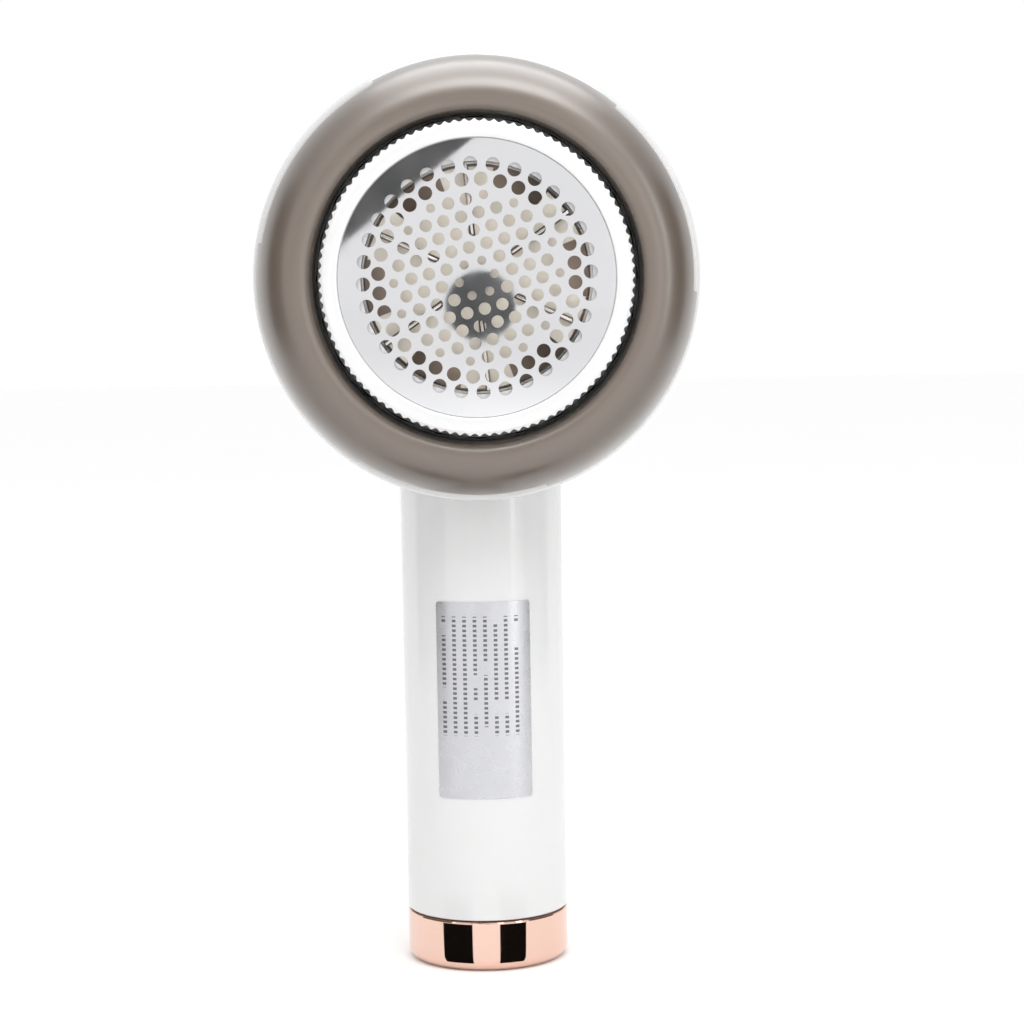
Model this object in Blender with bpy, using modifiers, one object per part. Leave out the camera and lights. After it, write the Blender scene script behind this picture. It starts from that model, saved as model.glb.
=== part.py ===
"""Fabric shaver: round cutter head with a lint bin, on a cylindrical battery handle.

Sizes are millimetres, turned into metres where points are made. +Z runs up the handle
from its flat foot, and the cutter faces -Y. On the head, `w` is the distance in front
of the handle's axis, measured along the head's own axis.
"""

import math

import bmesh
import bpy

MM = 0.001
TURN = 2.0 * math.pi

# Clearances
GAP = 0.3            # between pieces that rest on or fit in each other
SLIDE_GAP = 0.4      # between pieces that slide or turn on each other

# Overall sizes
HEAD_Z = 136.0       # height of the head's axis
HEAD_R = 43.0
RIM_LEAD = 0.5       # front edge of the head cup, ahead of the handle
CUP_W = 6.0          # where the cup's side turns into its domed back
BACK_LEAD = 2.0      # how far the domed back lies behind the handle
BACK_POWER = 2.5
SHELL_WALL = 2.0
RIM_ROUND = 1.2
HANDLE_R = 16.0
HANDLE_WALL = 2.0
SEAM_Z = 10.0        # joint between the foot cap and the handle

# Foot cap
CAP_ROUND = 2.4
CAP_FLOOR = 2.0
SPIGOT_LENGTH = 4.0
SPIGOT_WALL = 1.7

# Deck that closes the head cup
DECK_SINK = 0.8      # the deck's face lies this far behind the rim
DECK_PLATE = 1.8
COLLAR_WALL = 3.2
COLLAR_HEIGHT = 4.5
BOSS_R = 3.0
BOSS_INSET = 5.0     # boss centres, in from the cup's wall
DECK_SCREW_LENGTH = 10.0
DECK_SCREW_HEAD_R = 2.6
DECK_SCREW_HEAD = 1.1
SCREW_R = 1.0

# Motor
MOTOR_R = 12.0
MOTOR_WALL = 1.2
MOTOR_LENGTH = 26.6
SHAFT_R = 1.0
BUSH_WALL = 1.3
BUSH_LENGTH = 2.4
ARMATURE_LENGTH = 13.0
ARMATURE_R = 9.0
MAGNET = 1.1
MAGNET_SPAN = 120.0
BELL_PLATE = 2.7
TERMINAL_X = 7.0
MOTOR_SCREW_PITCH = 8.0
MOTOR_SCREW_R = 0.9
MOTOR_SCREW_HEAD_R = 1.9
MOTOR_SCREW_HEAD = 1.2

# Cutter seat
TURRET_R = 21.6      # bore that the rotor turns in
TURRET_WALL = 1.8
TURRET_LENGTH = 18.7
SEAT_FLOOR = 1.6
SEAT_FLANGE = 3.4
CLAMP_FLANGE = 3.0   # flange that the ring's lugs grip
CLAMP_THICK = 1.5
SHIELD_THICK = 0.6
SHIELD_HOLE_R = 4.5
WINDOW_SPAN = 70.0
WINDOW_LOW = 2.8     # above the seat's floor
WINDOW_HEIGHT = 7.5

# Foil and its ring
FOIL_THICK = 0.3
FOIL_CROWN = 0.9
FOIL_EDGE = 1.2      # flat edge held under the ring's lip
RING_WALL = 2.0      # from its bore to the foot of its teeth
TOOTH_DEPTH = 0.5
TOOTH_COUNT = 100
RING_LENGTH = 8.7
RING_LIP = 0.8
LUG_REACH = 1.7
LUG_SPAN = 24.0
LUG_THICK = 1.6
LUG_COUNT = 3

# Pattern of foil holes
HOLE_R = 1.15
SMALL_HOLE_R = 0.85
EDGE_HOLE_R = 1.3
RING_HOLE_COUNT = 32
HOLE_RING_INSET = 0.5  # outer ring of holes, in from the rotor's bore
HOLE_RING_STEP = 2.85
LATTICE_REACH = math.sqrt(21.0)   # furthest lattice hole, in pitches
LATTICE_TURN = 13.6
HOLE_SIDES = 6

# Rotor
ROTOR_GAP = 1.0      # petal tips to the seat's bore
PETAL_COUNT = 6
PETAL_TURN = 35.0
PETAL_SPAN = 29.0
PETAL_REACH = 3.6
DISC_THICK = 1.8
DISC_BELOW_FOIL = 1.6
HUB_R = 3.2
HUB_LENGTH = 9.2
VANE_DROP = 4.0
VANE_THICK = 1.2
BLADE_THICK = 0.5
BLADE_START_R = 8.0
BLADE_DROP = 4.4

# Lint bin
BIN_INSET = 0.7      # the bin's edge lies this far inside the rim
BIN_WALL = 1.9
BIN_SKIRT_WALL = 2.7
BIN_HEIGHT = 16.7
BIN_POWER = 2.2
SKIRT_HEIGHT = 1.2
MOUTH_GAP = 1.8      # between the knurled ring and the bin's mouth
LIP_WALL = 1.3
LIP_DEPTH = 7.5
LIP_ROUND = 2.3
BIN_PLATE = 1.4
NOTCH_DEPTH = 1.2
NOTCHES = ((22.75, 54.5), (143.5, 53.0), (262.0, 52.0))   # centre and span, degrees
SEAL_R = 0.6

# Handle contents
CELL_R = 9.25
CELL_LENGTH = 65.0
CELL_Z = 26.5
CRADLE_WALL = 1.8
BULKHEAD = 1.6
CONTACT_R = 6.0
CONTACT_THICK = 0.5
WIRE_R = 0.6
WIRE_X = 11.9
WIRE_Y = 4.0
BOARD_THICK = 1.6
BOARD_Y = 3.0
BOARD_WIDTH = 24.0
BOARD_HEIGHT = 20.0
RAIL_X = 8.5
RAIL_WIDTH = 3.0
CHARGE_BOARD_SIZE = (16.0, 18.8)
SOCKET_SIZE = (8.0, 7.5, 6.0)
SOCKET_NOSE_R = 3.0
SOCKET_BORE_R = 1.75
SOCKET_PIN_R = 0.65
LIGHT_Z = 30.0
LIGHT_R = 1.4

# Power button
BUTTON_Z = 105.0
BUTTON_R = 5.2
BUTTON_PROUD = 1.0
BUTTON_TRAVEL = 1.0
FLANGE_LIP = 1.0     # how far the flange stands out past the button
FLANGE_THICK = 1.2
BEZEL_WALL = 1.3
BEZEL_LENGTH = 4.1
SWITCH_SIZE = 6.0
SWITCH_HEIGHT = 3.3
PLUNGER_R = 1.6
PLUNGER_LENGTH = 2.6
SPRING_WIRE_R = 0.25
SPRING_TURNS = 4

# Label
LABEL_WIDTH = 19.3
LABEL_LOW_Z = 34.6
LABEL_HEIGHT = 38.7
LABEL_THICK = 0.15
LABEL_LIFT = 0.15

# Roundness
BIG_STEPS = 48
MID_STEPS = 40
FOIL_STEPS = 24
SMALL_STEPS = 24
TINY_STEPS = 12

# Derived on the head
RIM_W = HANDLE_R + RIM_LEAD
BACK_DEPTH = CUP_W + HANDLE_R + BACK_LEAD
CUP_INNER_R = HEAD_R - SHELL_WALL
DECK_TOP_W = RIM_W - DECK_SINK
DECK_LOW_W = DECK_TOP_W - DECK_PLATE
SEAT_LOW_W = DECK_TOP_W + GAP
MOTOR_TOP_W = SEAT_LOW_W + 1.8
FLOOR_LOW_W = MOTOR_TOP_W + GAP
FLOOR_TOP_W = FLOOR_LOW_W + SEAT_FLOOR
TURRET_OUT_R = TURRET_R + TURRET_WALL
TURRET_TOP_W = SEAT_LOW_W + TURRET_LENGTH
CLAMP_R = TURRET_OUT_R + CLAMP_FLANGE
CLAMP_LOW_W = TURRET_TOP_W - CLAMP_THICK
SEAT_R = TURRET_OUT_R + SEAT_FLANGE
COLLAR_R = SEAT_R + SLIDE_GAP + COLLAR_WALL
FOIL_LOW_W = TURRET_TOP_W + GAP
FOIL_R = CLAMP_R
FOIL_DOME_R = FOIL_R - FOIL_EDGE
RING_BORE_R = CLAMP_R + SLIDE_GAP
RING_R = RING_BORE_R + RING_WALL + TOOTH_DEPTH
LIP_LOW_W = FOIL_LOW_W + FOIL_THICK + GAP
RING_TOP_W = LIP_LOW_W + RING_LIP
DISC_TOP_W = FOIL_LOW_W - DISC_BELOW_FOIL
DISC_LOW_W = DISC_TOP_W - DISC_THICK
PETAL_R = TURRET_R - ROTOR_GAP
DISC_R = PETAL_R - PETAL_REACH
OUTER_RING_R = TURRET_R - HOLE_RING_INSET
INNER_RING_R = OUTER_RING_R - HOLE_RING_STEP
LATTICE_PITCH = (INNER_RING_R - HOLE_RING_STEP) / LATTICE_REACH
BLADE_R = PETAL_R + GAP
BLADE_TOP_W = FOIL_LOW_W - 0.1
BORE_R = SHAFT_R + GAP
MOUTH_R = RING_R + MOUTH_GAP
BIN_R = HEAD_R - BIN_INSET
BIN_LOW_W = RIM_W + GAP
BIN_TOP_W = BIN_LOW_W + BIN_HEIGHT
SKIRT_INNER_R = BIN_R - BIN_SKIRT_WALL
CROWN_R = MOUTH_R + LIP_ROUND
HANDLE_INNER_R = HANDLE_R - HANDLE_WALL
BOSS_PITCH = CUP_INNER_R - BOSS_INSET
BOSS_ANGLES = (90.0, 210.0, 330.0)
MOTOR_LOW_W = MOTOR_TOP_W - MOTOR_LENGTH
SHIELD_LOW_W = FLOOR_TOP_W + 1.8

# Derived in the handle
SPIGOT_R = HANDLE_INNER_R - GAP
CHARGE_BOARD_Z = SEAM_Z + SPIGOT_LENGTH + 0.6
SOCKET_Z = CHARGE_BOARD_Z + BOARD_THICK + GAP + SOCKET_SIZE[2] / 2.0
CELL_TOP_Z = CELL_Z + CELL_LENGTH
LOW_BULKHEAD_Z = CELL_Z - 1.5 - BULKHEAD
TOP_BULKHEAD_Z = CELL_TOP_Z + 1.5
CIRCUIT_LOW_Z = TOP_BULKHEAD_Z + BULKHEAD + 1.4
SWITCH_LOW_Y = BOARD_Y + BOARD_THICK / 2.0 + GAP
SWITCH_TOP_Y = SWITCH_LOW_Y + SWITCH_HEIGHT
PLUNGER_TOP_Y = SWITCH_TOP_Y + BUTTON_TRAVEL + 0.2
STEM_LOW_Y = PLUNGER_TOP_Y + GAP
BUTTON_TOP_Y = HANDLE_R + BUTTON_PROUD
BEZEL_TOP_Y = HANDLE_R + 0.7
BEZEL_LOW_Y = BEZEL_TOP_Y - BEZEL_LENGTH
FLANGE_TOP_Y = BEZEL_LOW_Y - SLIDE_GAP
FLANGE_LOW_Y = FLANGE_TOP_Y - FLANGE_THICK
BEZEL_IN_R = BUTTON_R + GAP
BEZEL_OUT_R = BEZEL_IN_R + BEZEL_WALL
FLANGE_R = BUTTON_R + FLANGE_LIP


def clear_scene():
    """Remove every object that is already in the scene."""
    for obj in list(bpy.data.objects):
        bpy.data.objects.remove(obj, do_unlink=True)


def new_collection(name):
    """Make a collection in the scene."""
    made = bpy.data.collections.new(name)
    bpy.context.scene.collection.children.link(made)
    return made


clear_scene()
PARTS = new_collection("fabric_shaver")
CUTTERS = new_collection("cutters")


def empty(name, location, rotation=(0.0, 0.0, 0.0)):
    """Make an empty that pieces are parented to."""
    made = bpy.data.objects.new(name, None)
    made.location = [value * MM for value in location]
    made.rotation_euler = rotation
    made.empty_display_size = 10.0 * MM
    PARTS.objects.link(made)
    return made


HEAD = empty("head_axis", (0.0, 0.0, HEAD_Z), (math.pi / 2.0, 0.0, 0.0))
BUTTON = empty("button_axis", (0.0, 0.0, BUTTON_Z), (-math.pi / 2.0, 0.0, 0.0))
SOCKET = empty("socket_axis", (0.0, 0.0, SOCKET_Z), (-math.pi / 2.0, 0.0, 0.0))
LIGHT = empty("light_axis", (0.0, 0.0, LIGHT_Z), (-math.pi / 2.0, 0.0, 0.0))


def material(name, colour, roughness, metallic=0.0):
    """Make a Principled material; colour is linear red, green, blue."""
    made = bpy.data.materials.new(name)
    made.use_nodes = True
    shader = made.node_tree.nodes["Principled BSDF"]
    shader.inputs["Base Color"].default_value = (*colour, 1.0)
    shader.inputs["Roughness"].default_value = roughness
    shader.inputs["Metallic"].default_value = metallic
    return made


WHITE = material("white_abs", (0.86, 0.86, 0.85), 0.15)
ROSE_GOLD = material("rose_gold_plate", (0.83, 0.52, 0.42), 0.08, 1.0)
SMOKE = material("smoke_brown", (0.12, 0.09, 0.07), 0.2)
CREAM = material("cream_abs", (0.60, 0.55, 0.47), 0.4)
GREY = material("grey_plastic", (0.35, 0.35, 0.34), 0.5)
BROWN = material("brown_shield", (0.12, 0.08, 0.06), 0.6)
FOIL_STEEL = material("polished_foil", (0.78, 0.78, 0.80), 0.06, 1.0)
STEEL = material("steel", (0.55, 0.55, 0.56), 0.3, 1.0)
BRASS = material("brass", (0.70, 0.50, 0.22), 0.3, 1.0)
BLACK = material("black_plastic", (0.02, 0.02, 0.02), 0.5)
RUBBER = material("black_rubber", (0.02, 0.02, 0.02), 0.8)
BOARD = material("green_board", (0.03, 0.20, 0.08), 0.5)
CELL_WRAP = material("cell_wrap", (0.05, 0.20, 0.45), 0.35)
MAGNET_GREY = material("ferrite", (0.08, 0.08, 0.08), 0.6)
RED_WIRE = material("red_wire", (0.60, 0.03, 0.03), 0.5)
BLACK_WIRE = material("black_wire", (0.02, 0.02, 0.02), 0.5)
LABEL_SILVER = material("satin_label", (0.60, 0.60, 0.62), 0.4, 1.0)
LIGHT_CLEAR = material("light_clear", (0.80, 0.30, 0.20), 0.2)


# ---------------------------------------------------------------- makers of shapes

def make_object(name, mesh, parent, finish):
    """Put a mesh in the scene, as a part when it has a finish and else as a cutter."""
    made = bpy.data.objects.new(name, mesh)
    made.parent = parent
    if finish is None:
        CUTTERS.objects.link(made)
        made.hide_render = True
        made.display_type = "WIRE"
    else:
        PARTS.objects.link(made)
        mesh.materials.append(finish)
    return made


def clockwise(points):
    """Order a profile so that its outer side runs from top to bottom."""
    area = 0.0
    for (r0, z0), (r1, z1) in zip(points, points[1:] + points[:1]):
        area += r0 * z1 - r1 * z0
    return points if area < 0.0 else points[::-1]


def turned(name, profile, parent=None, finish=None, steps=MID_STEPS):
    """Turn a profile of (radius, height) points round its parent's Z axis."""
    points = clockwise(list(profile))
    touches_axis = any(radius == 0.0 for radius, _ in points)
    if touches_axis:
        while points[0][0] != 0.0 or points[-1][0] != 0.0:
            points = points[1:] + points[:1]
    mesh = bpy.data.meshes.new(name)
    count = len(points)
    edges = [(i, i + 1) for i in range(count - 1)]
    if not touches_axis:
        edges.append((count - 1, 0))
    mesh.from_pydata([(r * MM, 0.0, z * MM) for r, z in points], edges, [])
    made = make_object(name, mesh, parent, finish)
    screw = made.modifiers.new("turn", "SCREW")
    screw.angle = TURN
    screw.steps = steps
    screw.render_steps = steps
    screw.use_merge_vertices = True
    screw.merge_threshold = 1e-6
    return made


def rod(name, radius, low, high, parent=None, finish=None, steps=SMALL_STEPS):
    """Make a plain cylinder on its parent's Z axis."""
    return turned(name, [(0.0, high), (radius, high), (radius, low), (0.0, low)],
                  parent, finish, steps)


def block(name, size, centre, parent=None, finish=None):
    """Make a box of the given size about its centre."""
    mesh = bpy.data.meshes.new(name)
    shape = bmesh.new()
    bmesh.ops.create_cube(shape, size=1.0)
    for vert in shape.verts:
        for axis in range(3):
            vert.co[axis] = (vert.co[axis] * size[axis] + centre[axis]) * MM
    shape.to_mesh(mesh)
    shape.free()
    return make_object(name, mesh, parent, finish)


def add_prism(shape, outline, low, high):
    """Add an outline of (x, y) points to a bmesh, extruded from low to high."""
    verts = [shape.verts.new((x * MM, y * MM, low * MM)) for x, y in outline]
    face = shape.faces.new(verts)
    grown = bmesh.ops.extrude_face_region(shape, geom=[face])["geom"]
    raised = [item for item in grown if isinstance(item, bmesh.types.BMVert)]
    bmesh.ops.translate(shape, verts=raised, vec=(0.0, 0.0, (high - low) * MM))


def prisms(name, outlines, low, high, parent=None, finish=None):
    """Make one object of upright prisms, one for each outline."""
    mesh = bpy.data.meshes.new(name)
    shape = bmesh.new()
    for outline in outlines:
        add_prism(shape, outline, low, high)
    bmesh.ops.recalc_face_normals(shape, faces=shape.faces)
    shape.to_mesh(mesh)
    shape.free()
    return make_object(name, mesh, parent, finish)


def polar(radius, degrees):
    """Give the (x, y) point at a radius and an angle."""
    angle = math.radians(degrees)
    return (radius * math.cos(angle), radius * math.sin(angle))


def sector(inner, outer, centre, span, steps=8):
    """Give the outline of a ring segment."""
    angles = [centre - span / 2.0 + span * i / steps for i in range(steps + 1)]
    return [polar(outer, a) for a in angles] + [polar(inner, a) for a in reversed(angles)]


def polygon(radius, sides, centre=(0.0, 0.0)):
    """Give the outline of a regular polygon about a centre."""
    corners = [polar(radius, 360.0 * i / sides) for i in range(sides)]
    return [(x + centre[0], y + centre[1]) for x, y in corners]


def arc(centre, radius, start, end, steps):
    """Give points along an arc in a profile, angles in degrees."""
    points = []
    for i in range(steps + 1):
        x, y = polar(radius, start + (end - start) * i / steps)
        points.append((centre[0] + x, centre[1] + y))
    return points


def crown(inner, outer, low, high, power, steps):
    """Give a superellipse quarter from (inner, high) out to (outer, low)."""
    points = []
    for i in range(steps + 1):
        angle = math.pi / 2.0 * i / steps
        across = math.sin(angle) ** (2.0 / power) if i else 0.0
        up = math.cos(angle) ** (2.0 / power) if i < steps else 0.0
        points.append((inner + (outer - inner) * across, low + (high - low) * up))
    return points


def combine(target, operation, *tools):
    """Cut, join or trim a piece with other solids, in order."""
    for tool in tools:
        step = target.modifiers.new(tool.name, "BOOLEAN")
        step.operation = operation
        step.solver = "EXACT"
        step.object = tool
    return target


def wire(name, points, radius, parent, finish):
    """Make a round wire through points, with closed ends."""
    curve = bpy.data.curves.new(name, "CURVE")
    curve.dimensions = "3D"
    curve.bevel_depth = radius * MM
    curve.bevel_resolution = 2
    curve.use_fill_caps = True
    spline = curve.splines.new("POLY")
    spline.points.add(len(points) - 1)
    for point, place in zip(spline.points, points):
        point.co = (*[value * MM for value in place], 1.0)
    made = bpy.data.objects.new(name, curve)
    made.parent = parent
    PARTS.objects.link(made)
    curve.materials.append(finish)
    return made


def smooth_route(points, steps=4):
    """Give a smooth curve through points, as closely spaced points."""
    padded = [points[0]] + list(points) + [points[-1]]
    route = []
    for before, start, end, after in zip(padded, padded[1:], padded[2:], padded[3:]):
        for i in range(steps):
            t = i / steps
            route.append(tuple(
                0.5 * (2.0 * b + (c - a) * t + (2.0 * a - 5.0 * b + 4.0 * c - d) * t * t
                       + (3.0 * b - a - 3.0 * c + d) * t ** 3)
                for a, b, c, d in zip(before, start, end, after)))
    route.append(tuple(points[-1]))
    return route


# ---------------------------------------------------------------- body

def cup_profile(radius, depth, front, rounding):
    """Give the head cup's solid profile, from its back to its front."""
    back = [(r, 2.0 * CUP_W - w)
            for r, w in crown(0.0, radius, CUP_W, CUP_W + depth, BACK_POWER, 7)]
    if rounding:
        edge = arc((radius - rounding, front - rounding), rounding, 0.0, 90.0, 4)
    else:
        edge = [(radius, front)]
    return back + edge + [(0.0, front)]


def build_body_shell():
    """Head cup and handle tube, moulded in one."""
    cup = turned("body_shell", cup_profile(HEAD_R, BACK_DEPTH, RIM_W, RIM_ROUND),
                 HEAD, WHITE, BIG_STEPS)
    tube = rod("handle_solid", HANDLE_R, SEAM_Z + GAP, HEAD_Z - 10.0, steps=MID_STEPS)
    cavity = turned("cup_cavity", cup_profile(CUP_INNER_R, BACK_DEPTH - SHELL_WALL,
                                              RIM_W + 1.0, 0.0), HEAD, steps=BIG_STEPS)
    bosses = prisms("boss_solids", [polygon(BOSS_R, 12, polar(BOSS_PITCH, a))
                                    for a in BOSS_ANGLES],
                    CUP_W - BACK_DEPTH - 5.0, DECK_LOW_W - GAP, HEAD)
    combine(cavity, "DIFFERENCE", bosses)
    bore = rod("handle_bore", HANDLE_INNER_R, 0.0, HEAD_Z - 14.0, steps=MID_STEPS)
    pilots = prisms("boss_pilots", [polygon(SCREW_R + GAP, 8, polar(BOSS_PITCH, a))
                                    for a in BOSS_ANGLES],
                    DECK_TOP_W - DECK_SCREW_LENGTH - 0.5, RIM_W, HEAD)
    button_hole = rod("button_hole", BEZEL_OUT_R + GAP, HANDLE_R - 5.0, HANDLE_R + 5.0,
                      BUTTON)
    socket_hole = rod("socket_hole", SOCKET_NOSE_R + GAP, HANDLE_R - 5.0,
                      HANDLE_R + 5.0, SOCKET, steps=TINY_STEPS)
    light_hole = rod("light_hole", LIGHT_R + GAP, HANDLE_R - 5.0, HANDLE_R + 5.0, LIGHT,
                     steps=TINY_STEPS)
    combine(cup, "UNION", tube)
    combine(cup, "DIFFERENCE", cavity, bore, pilots, button_hole, socket_hole, light_hole)


def build_base_cap():
    """Plated foot cap with a spigot that enters the handle."""
    inner = SPIGOT_R - SPIGOT_WALL
    top = SEAM_Z + SPIGOT_LENGTH
    edge = arc((HANDLE_R - CAP_ROUND, CAP_ROUND), CAP_ROUND, 0.0, -90.0, 5)
    turned("base_cap", [(0.0, CAP_FLOOR), (inner, CAP_FLOOR), (inner, top),
                        (SPIGOT_R, top), (SPIGOT_R, SEAM_Z), (HANDLE_R, SEAM_Z)]
           + edge + [(0.0, 0.0)], None, ROSE_GOLD, MID_STEPS)


def build_label():
    """Blank rating label wrapped on the front of the handle."""
    inner = HANDLE_R + LABEL_LIFT
    span = math.degrees(LABEL_WIDTH / inner)
    prisms("label", [sector(inner, inner + LABEL_THICK, 270.0, span, 10)],
           LABEL_LOW_Z, LABEL_LOW_Z + LABEL_HEIGHT, None, LABEL_SILVER)


# ---------------------------------------------------------------- head, fixed pieces

def build_front_deck():
    """Deck that closes the cup, with a grooved collar for the bin's seal."""
    hole = MOTOR_R + 2.0 * GAP
    inner = COLLAR_R - COLLAR_WALL
    groove_r = COLLAR_R - 2.0 * SEAL_R
    groove_w = BIN_LOW_W + GAP + BIN_PLATE / 2.0
    half = SEAL_R + SLIDE_GAP
    deck = turned("front_deck", [
        (hole, DECK_LOW_W), (CUP_INNER_R - GAP, DECK_LOW_W),
        (CUP_INNER_R - GAP, DECK_TOP_W), (COLLAR_R, DECK_TOP_W),
        (COLLAR_R, groove_w - half), (groove_r, groove_w - half),
        (groove_r, groove_w + half), (COLLAR_R, groove_w + half),
        (COLLAR_R, DECK_TOP_W + COLLAR_HEIGHT), (inner, DECK_TOP_W + COLLAR_HEIGHT),
        (inner, DECK_TOP_W), (hole, DECK_TOP_W)], HEAD, WHITE, BIG_STEPS)
    holes = prisms("deck_holes", [polygon(SCREW_R + GAP, 8, polar(BOSS_PITCH, a))
                                  for a in BOSS_ANGLES],
                   DECK_LOW_W - 1.0, DECK_TOP_W + 1.0, HEAD)
    combine(deck, "DIFFERENCE", holes)
    seal_r = COLLAR_R - SEAL_R + SLIDE_GAP
    turned("bin_seal", arc((seal_r, groove_w), SEAL_R, 0.0, 300.0, 5), HEAD, RUBBER,
           FOIL_STEPS)


def build_screw(name, angle, pitch, head_w, sizes):
    """Pan-head screw along the head's axis; sizes are head, its height, shank, length."""
    head_r, head_height, shank_r, length = sizes
    screw = turned(name, [(0.0, head_w + head_height), (head_r, head_w + head_height),
                          (head_r, head_w), (shank_r, head_w),
                          (shank_r, head_w - length), (0.0, head_w - length)],
                   HEAD, STEEL, TINY_STEPS)
    x, y = polar(pitch, angle)
    screw.location = (x * MM, y * MM, 0.0)


def build_screws():
    """Three deck screws and two motor screws."""
    for number, angle in enumerate(BOSS_ANGLES, 1):
        build_screw(f"deck_screw_{number}", angle, BOSS_PITCH, DECK_TOP_W + GAP,
                    (DECK_SCREW_HEAD_R, DECK_SCREW_HEAD, SCREW_R, DECK_SCREW_LENGTH))
    for number, angle in enumerate((90.0, 270.0), 1):
        build_screw(f"motor_screw_{number}", angle, MOTOR_SCREW_PITCH,
                    FLOOR_TOP_W + GAP, (MOTOR_SCREW_HEAD_R, MOTOR_SCREW_HEAD,
                                        MOTOR_SCREW_R, 6.5))


def motor_screw_holes(name, low, high):
    """Make the cutter for the two motor screws' holes."""
    return prisms(name, [polygon(MOTOR_SCREW_R + GAP, 8, polar(MOTOR_SCREW_PITCH, a))
                         for a in (90.0, 270.0)], low, high, HEAD)


def build_cutter_seat():
    """Round seat that the rotor turns in, with lint windows and bayonet slots."""
    ledge = TURRET_R - 1.2
    ledge_top = SHIELD_LOW_W - GAP
    hole = SHAFT_R + 1.2
    seat = turned("cutter_seat", [
        (SEAT_R, SEAT_LOW_W), (SEAT_R, SEAT_LOW_W + 1.6),
        (TURRET_OUT_R, SEAT_LOW_W + 1.6), (TURRET_OUT_R, CLAMP_LOW_W),
        (CLAMP_R, CLAMP_LOW_W), (CLAMP_R, TURRET_TOP_W), (TURRET_R, TURRET_TOP_W),
        (TURRET_R, ledge_top), (ledge, ledge_top), (ledge, FLOOR_TOP_W),
        (hole, FLOOR_TOP_W), (hole, FLOOR_LOW_W), (TURRET_R - 0.6, FLOOR_LOW_W),
        (TURRET_R - 0.6, SEAT_LOW_W)], HEAD, CREAM, BIG_STEPS)
    windows = prisms("seat_windows", [
        sector(TURRET_R - 1.0, TURRET_OUT_R + 1.0, 60.0 + 120.0 * i, WINDOW_SPAN, 7)
        for i in range(3)], FLOOR_TOP_W + WINDOW_LOW,
        FLOOR_TOP_W + WINDOW_LOW + WINDOW_HEIGHT, HEAD)
    slots = prisms("bayonet_slots", [
        sector(RING_BORE_R - LUG_REACH - SLIDE_GAP, CLAMP_R + 1.0, 120.0 * i,
               LUG_SPAN + 5.0, 5) for i in range(LUG_COUNT)],
        CLAMP_LOW_W - 1.0, TURRET_TOP_W + 1.0, HEAD)
    holes = motor_screw_holes("seat_screw_holes", FLOOR_LOW_W - 1.0, FLOOR_TOP_W + 1.0)
    combine(seat, "DIFFERENCE", windows, slots, holes)
    turned("dust_shield", [
        (SHIELD_HOLE_R, SHIELD_LOW_W), (TURRET_R - GAP, SHIELD_LOW_W),
        (TURRET_R - GAP, SHIELD_LOW_W + SHIELD_THICK),
        (SHIELD_HOLE_R, SHIELD_LOW_W + SHIELD_THICK)], HEAD, BROWN, MID_STEPS)


# ---------------------------------------------------------------- foil and ring

def lattice_holes():
    """Give each lattice hole's centre and radius, out to the fifth ring."""
    holes = []
    for row in range(-5, 6):
        for column in range(-5, 6):
            steps = row * row + row * column + column * column
            ring = max(abs(row), abs(column), abs(row + column))
            if ring == 0 or ring > 5 or steps > 21:
                continue
            reach = LATTICE_PITCH * math.sqrt(steps)
            angle = math.degrees(math.atan2(row * math.sqrt(3.0) / 2.0,
                                            column + row / 2.0))
            small = ring == 1 or steps == 21
            holes.append((polar(reach, angle + LATTICE_TURN),
                          SMALL_HOLE_R if small else HOLE_R))
    return holes


def rim_holes():
    """Give the centres and radii of the two rings of holes near the foil's edge."""
    pitch = 360.0 / RING_HOLE_COUNT
    holes = []
    for i in range(RING_HOLE_COUNT):
        holes.append((polar(OUTER_RING_R, LATTICE_TURN + pitch * i), EDGE_HOLE_R))
        holes.append((polar(INNER_RING_R, LATTICE_TURN + pitch * (i + 0.5)), EDGE_HOLE_R))
    return holes


def build_foil():
    """Domed steel foil with its holes."""
    top = FOIL_LOW_W + FOIL_THICK
    count = 1
    dome = [(FOIL_DOME_R * i / count, FOIL_CROWN * (1.0 - (i / count) ** 2))
            for i in range(count + 1)]
    upper = [(r, top + rise) for r, rise in dome]
    lower = [(r, FOIL_LOW_W + rise) for r, rise in reversed(dome)]
    foil = turned("foil", upper + [(FOIL_R, top), (FOIL_R, FOIL_LOW_W)] + lower,
                  HEAD, FOIL_STEEL, FOIL_STEPS)
    cutter = prisms("foil_holes", [polygon(radius, HOLE_SIDES, centre)
                                   for centre, radius in lattice_holes() + rim_holes()],
                    FOIL_LOW_W - 1.0, top + FOIL_CROWN + 1.0, HEAD)
    combine(foil, "DIFFERENCE", cutter)


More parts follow.
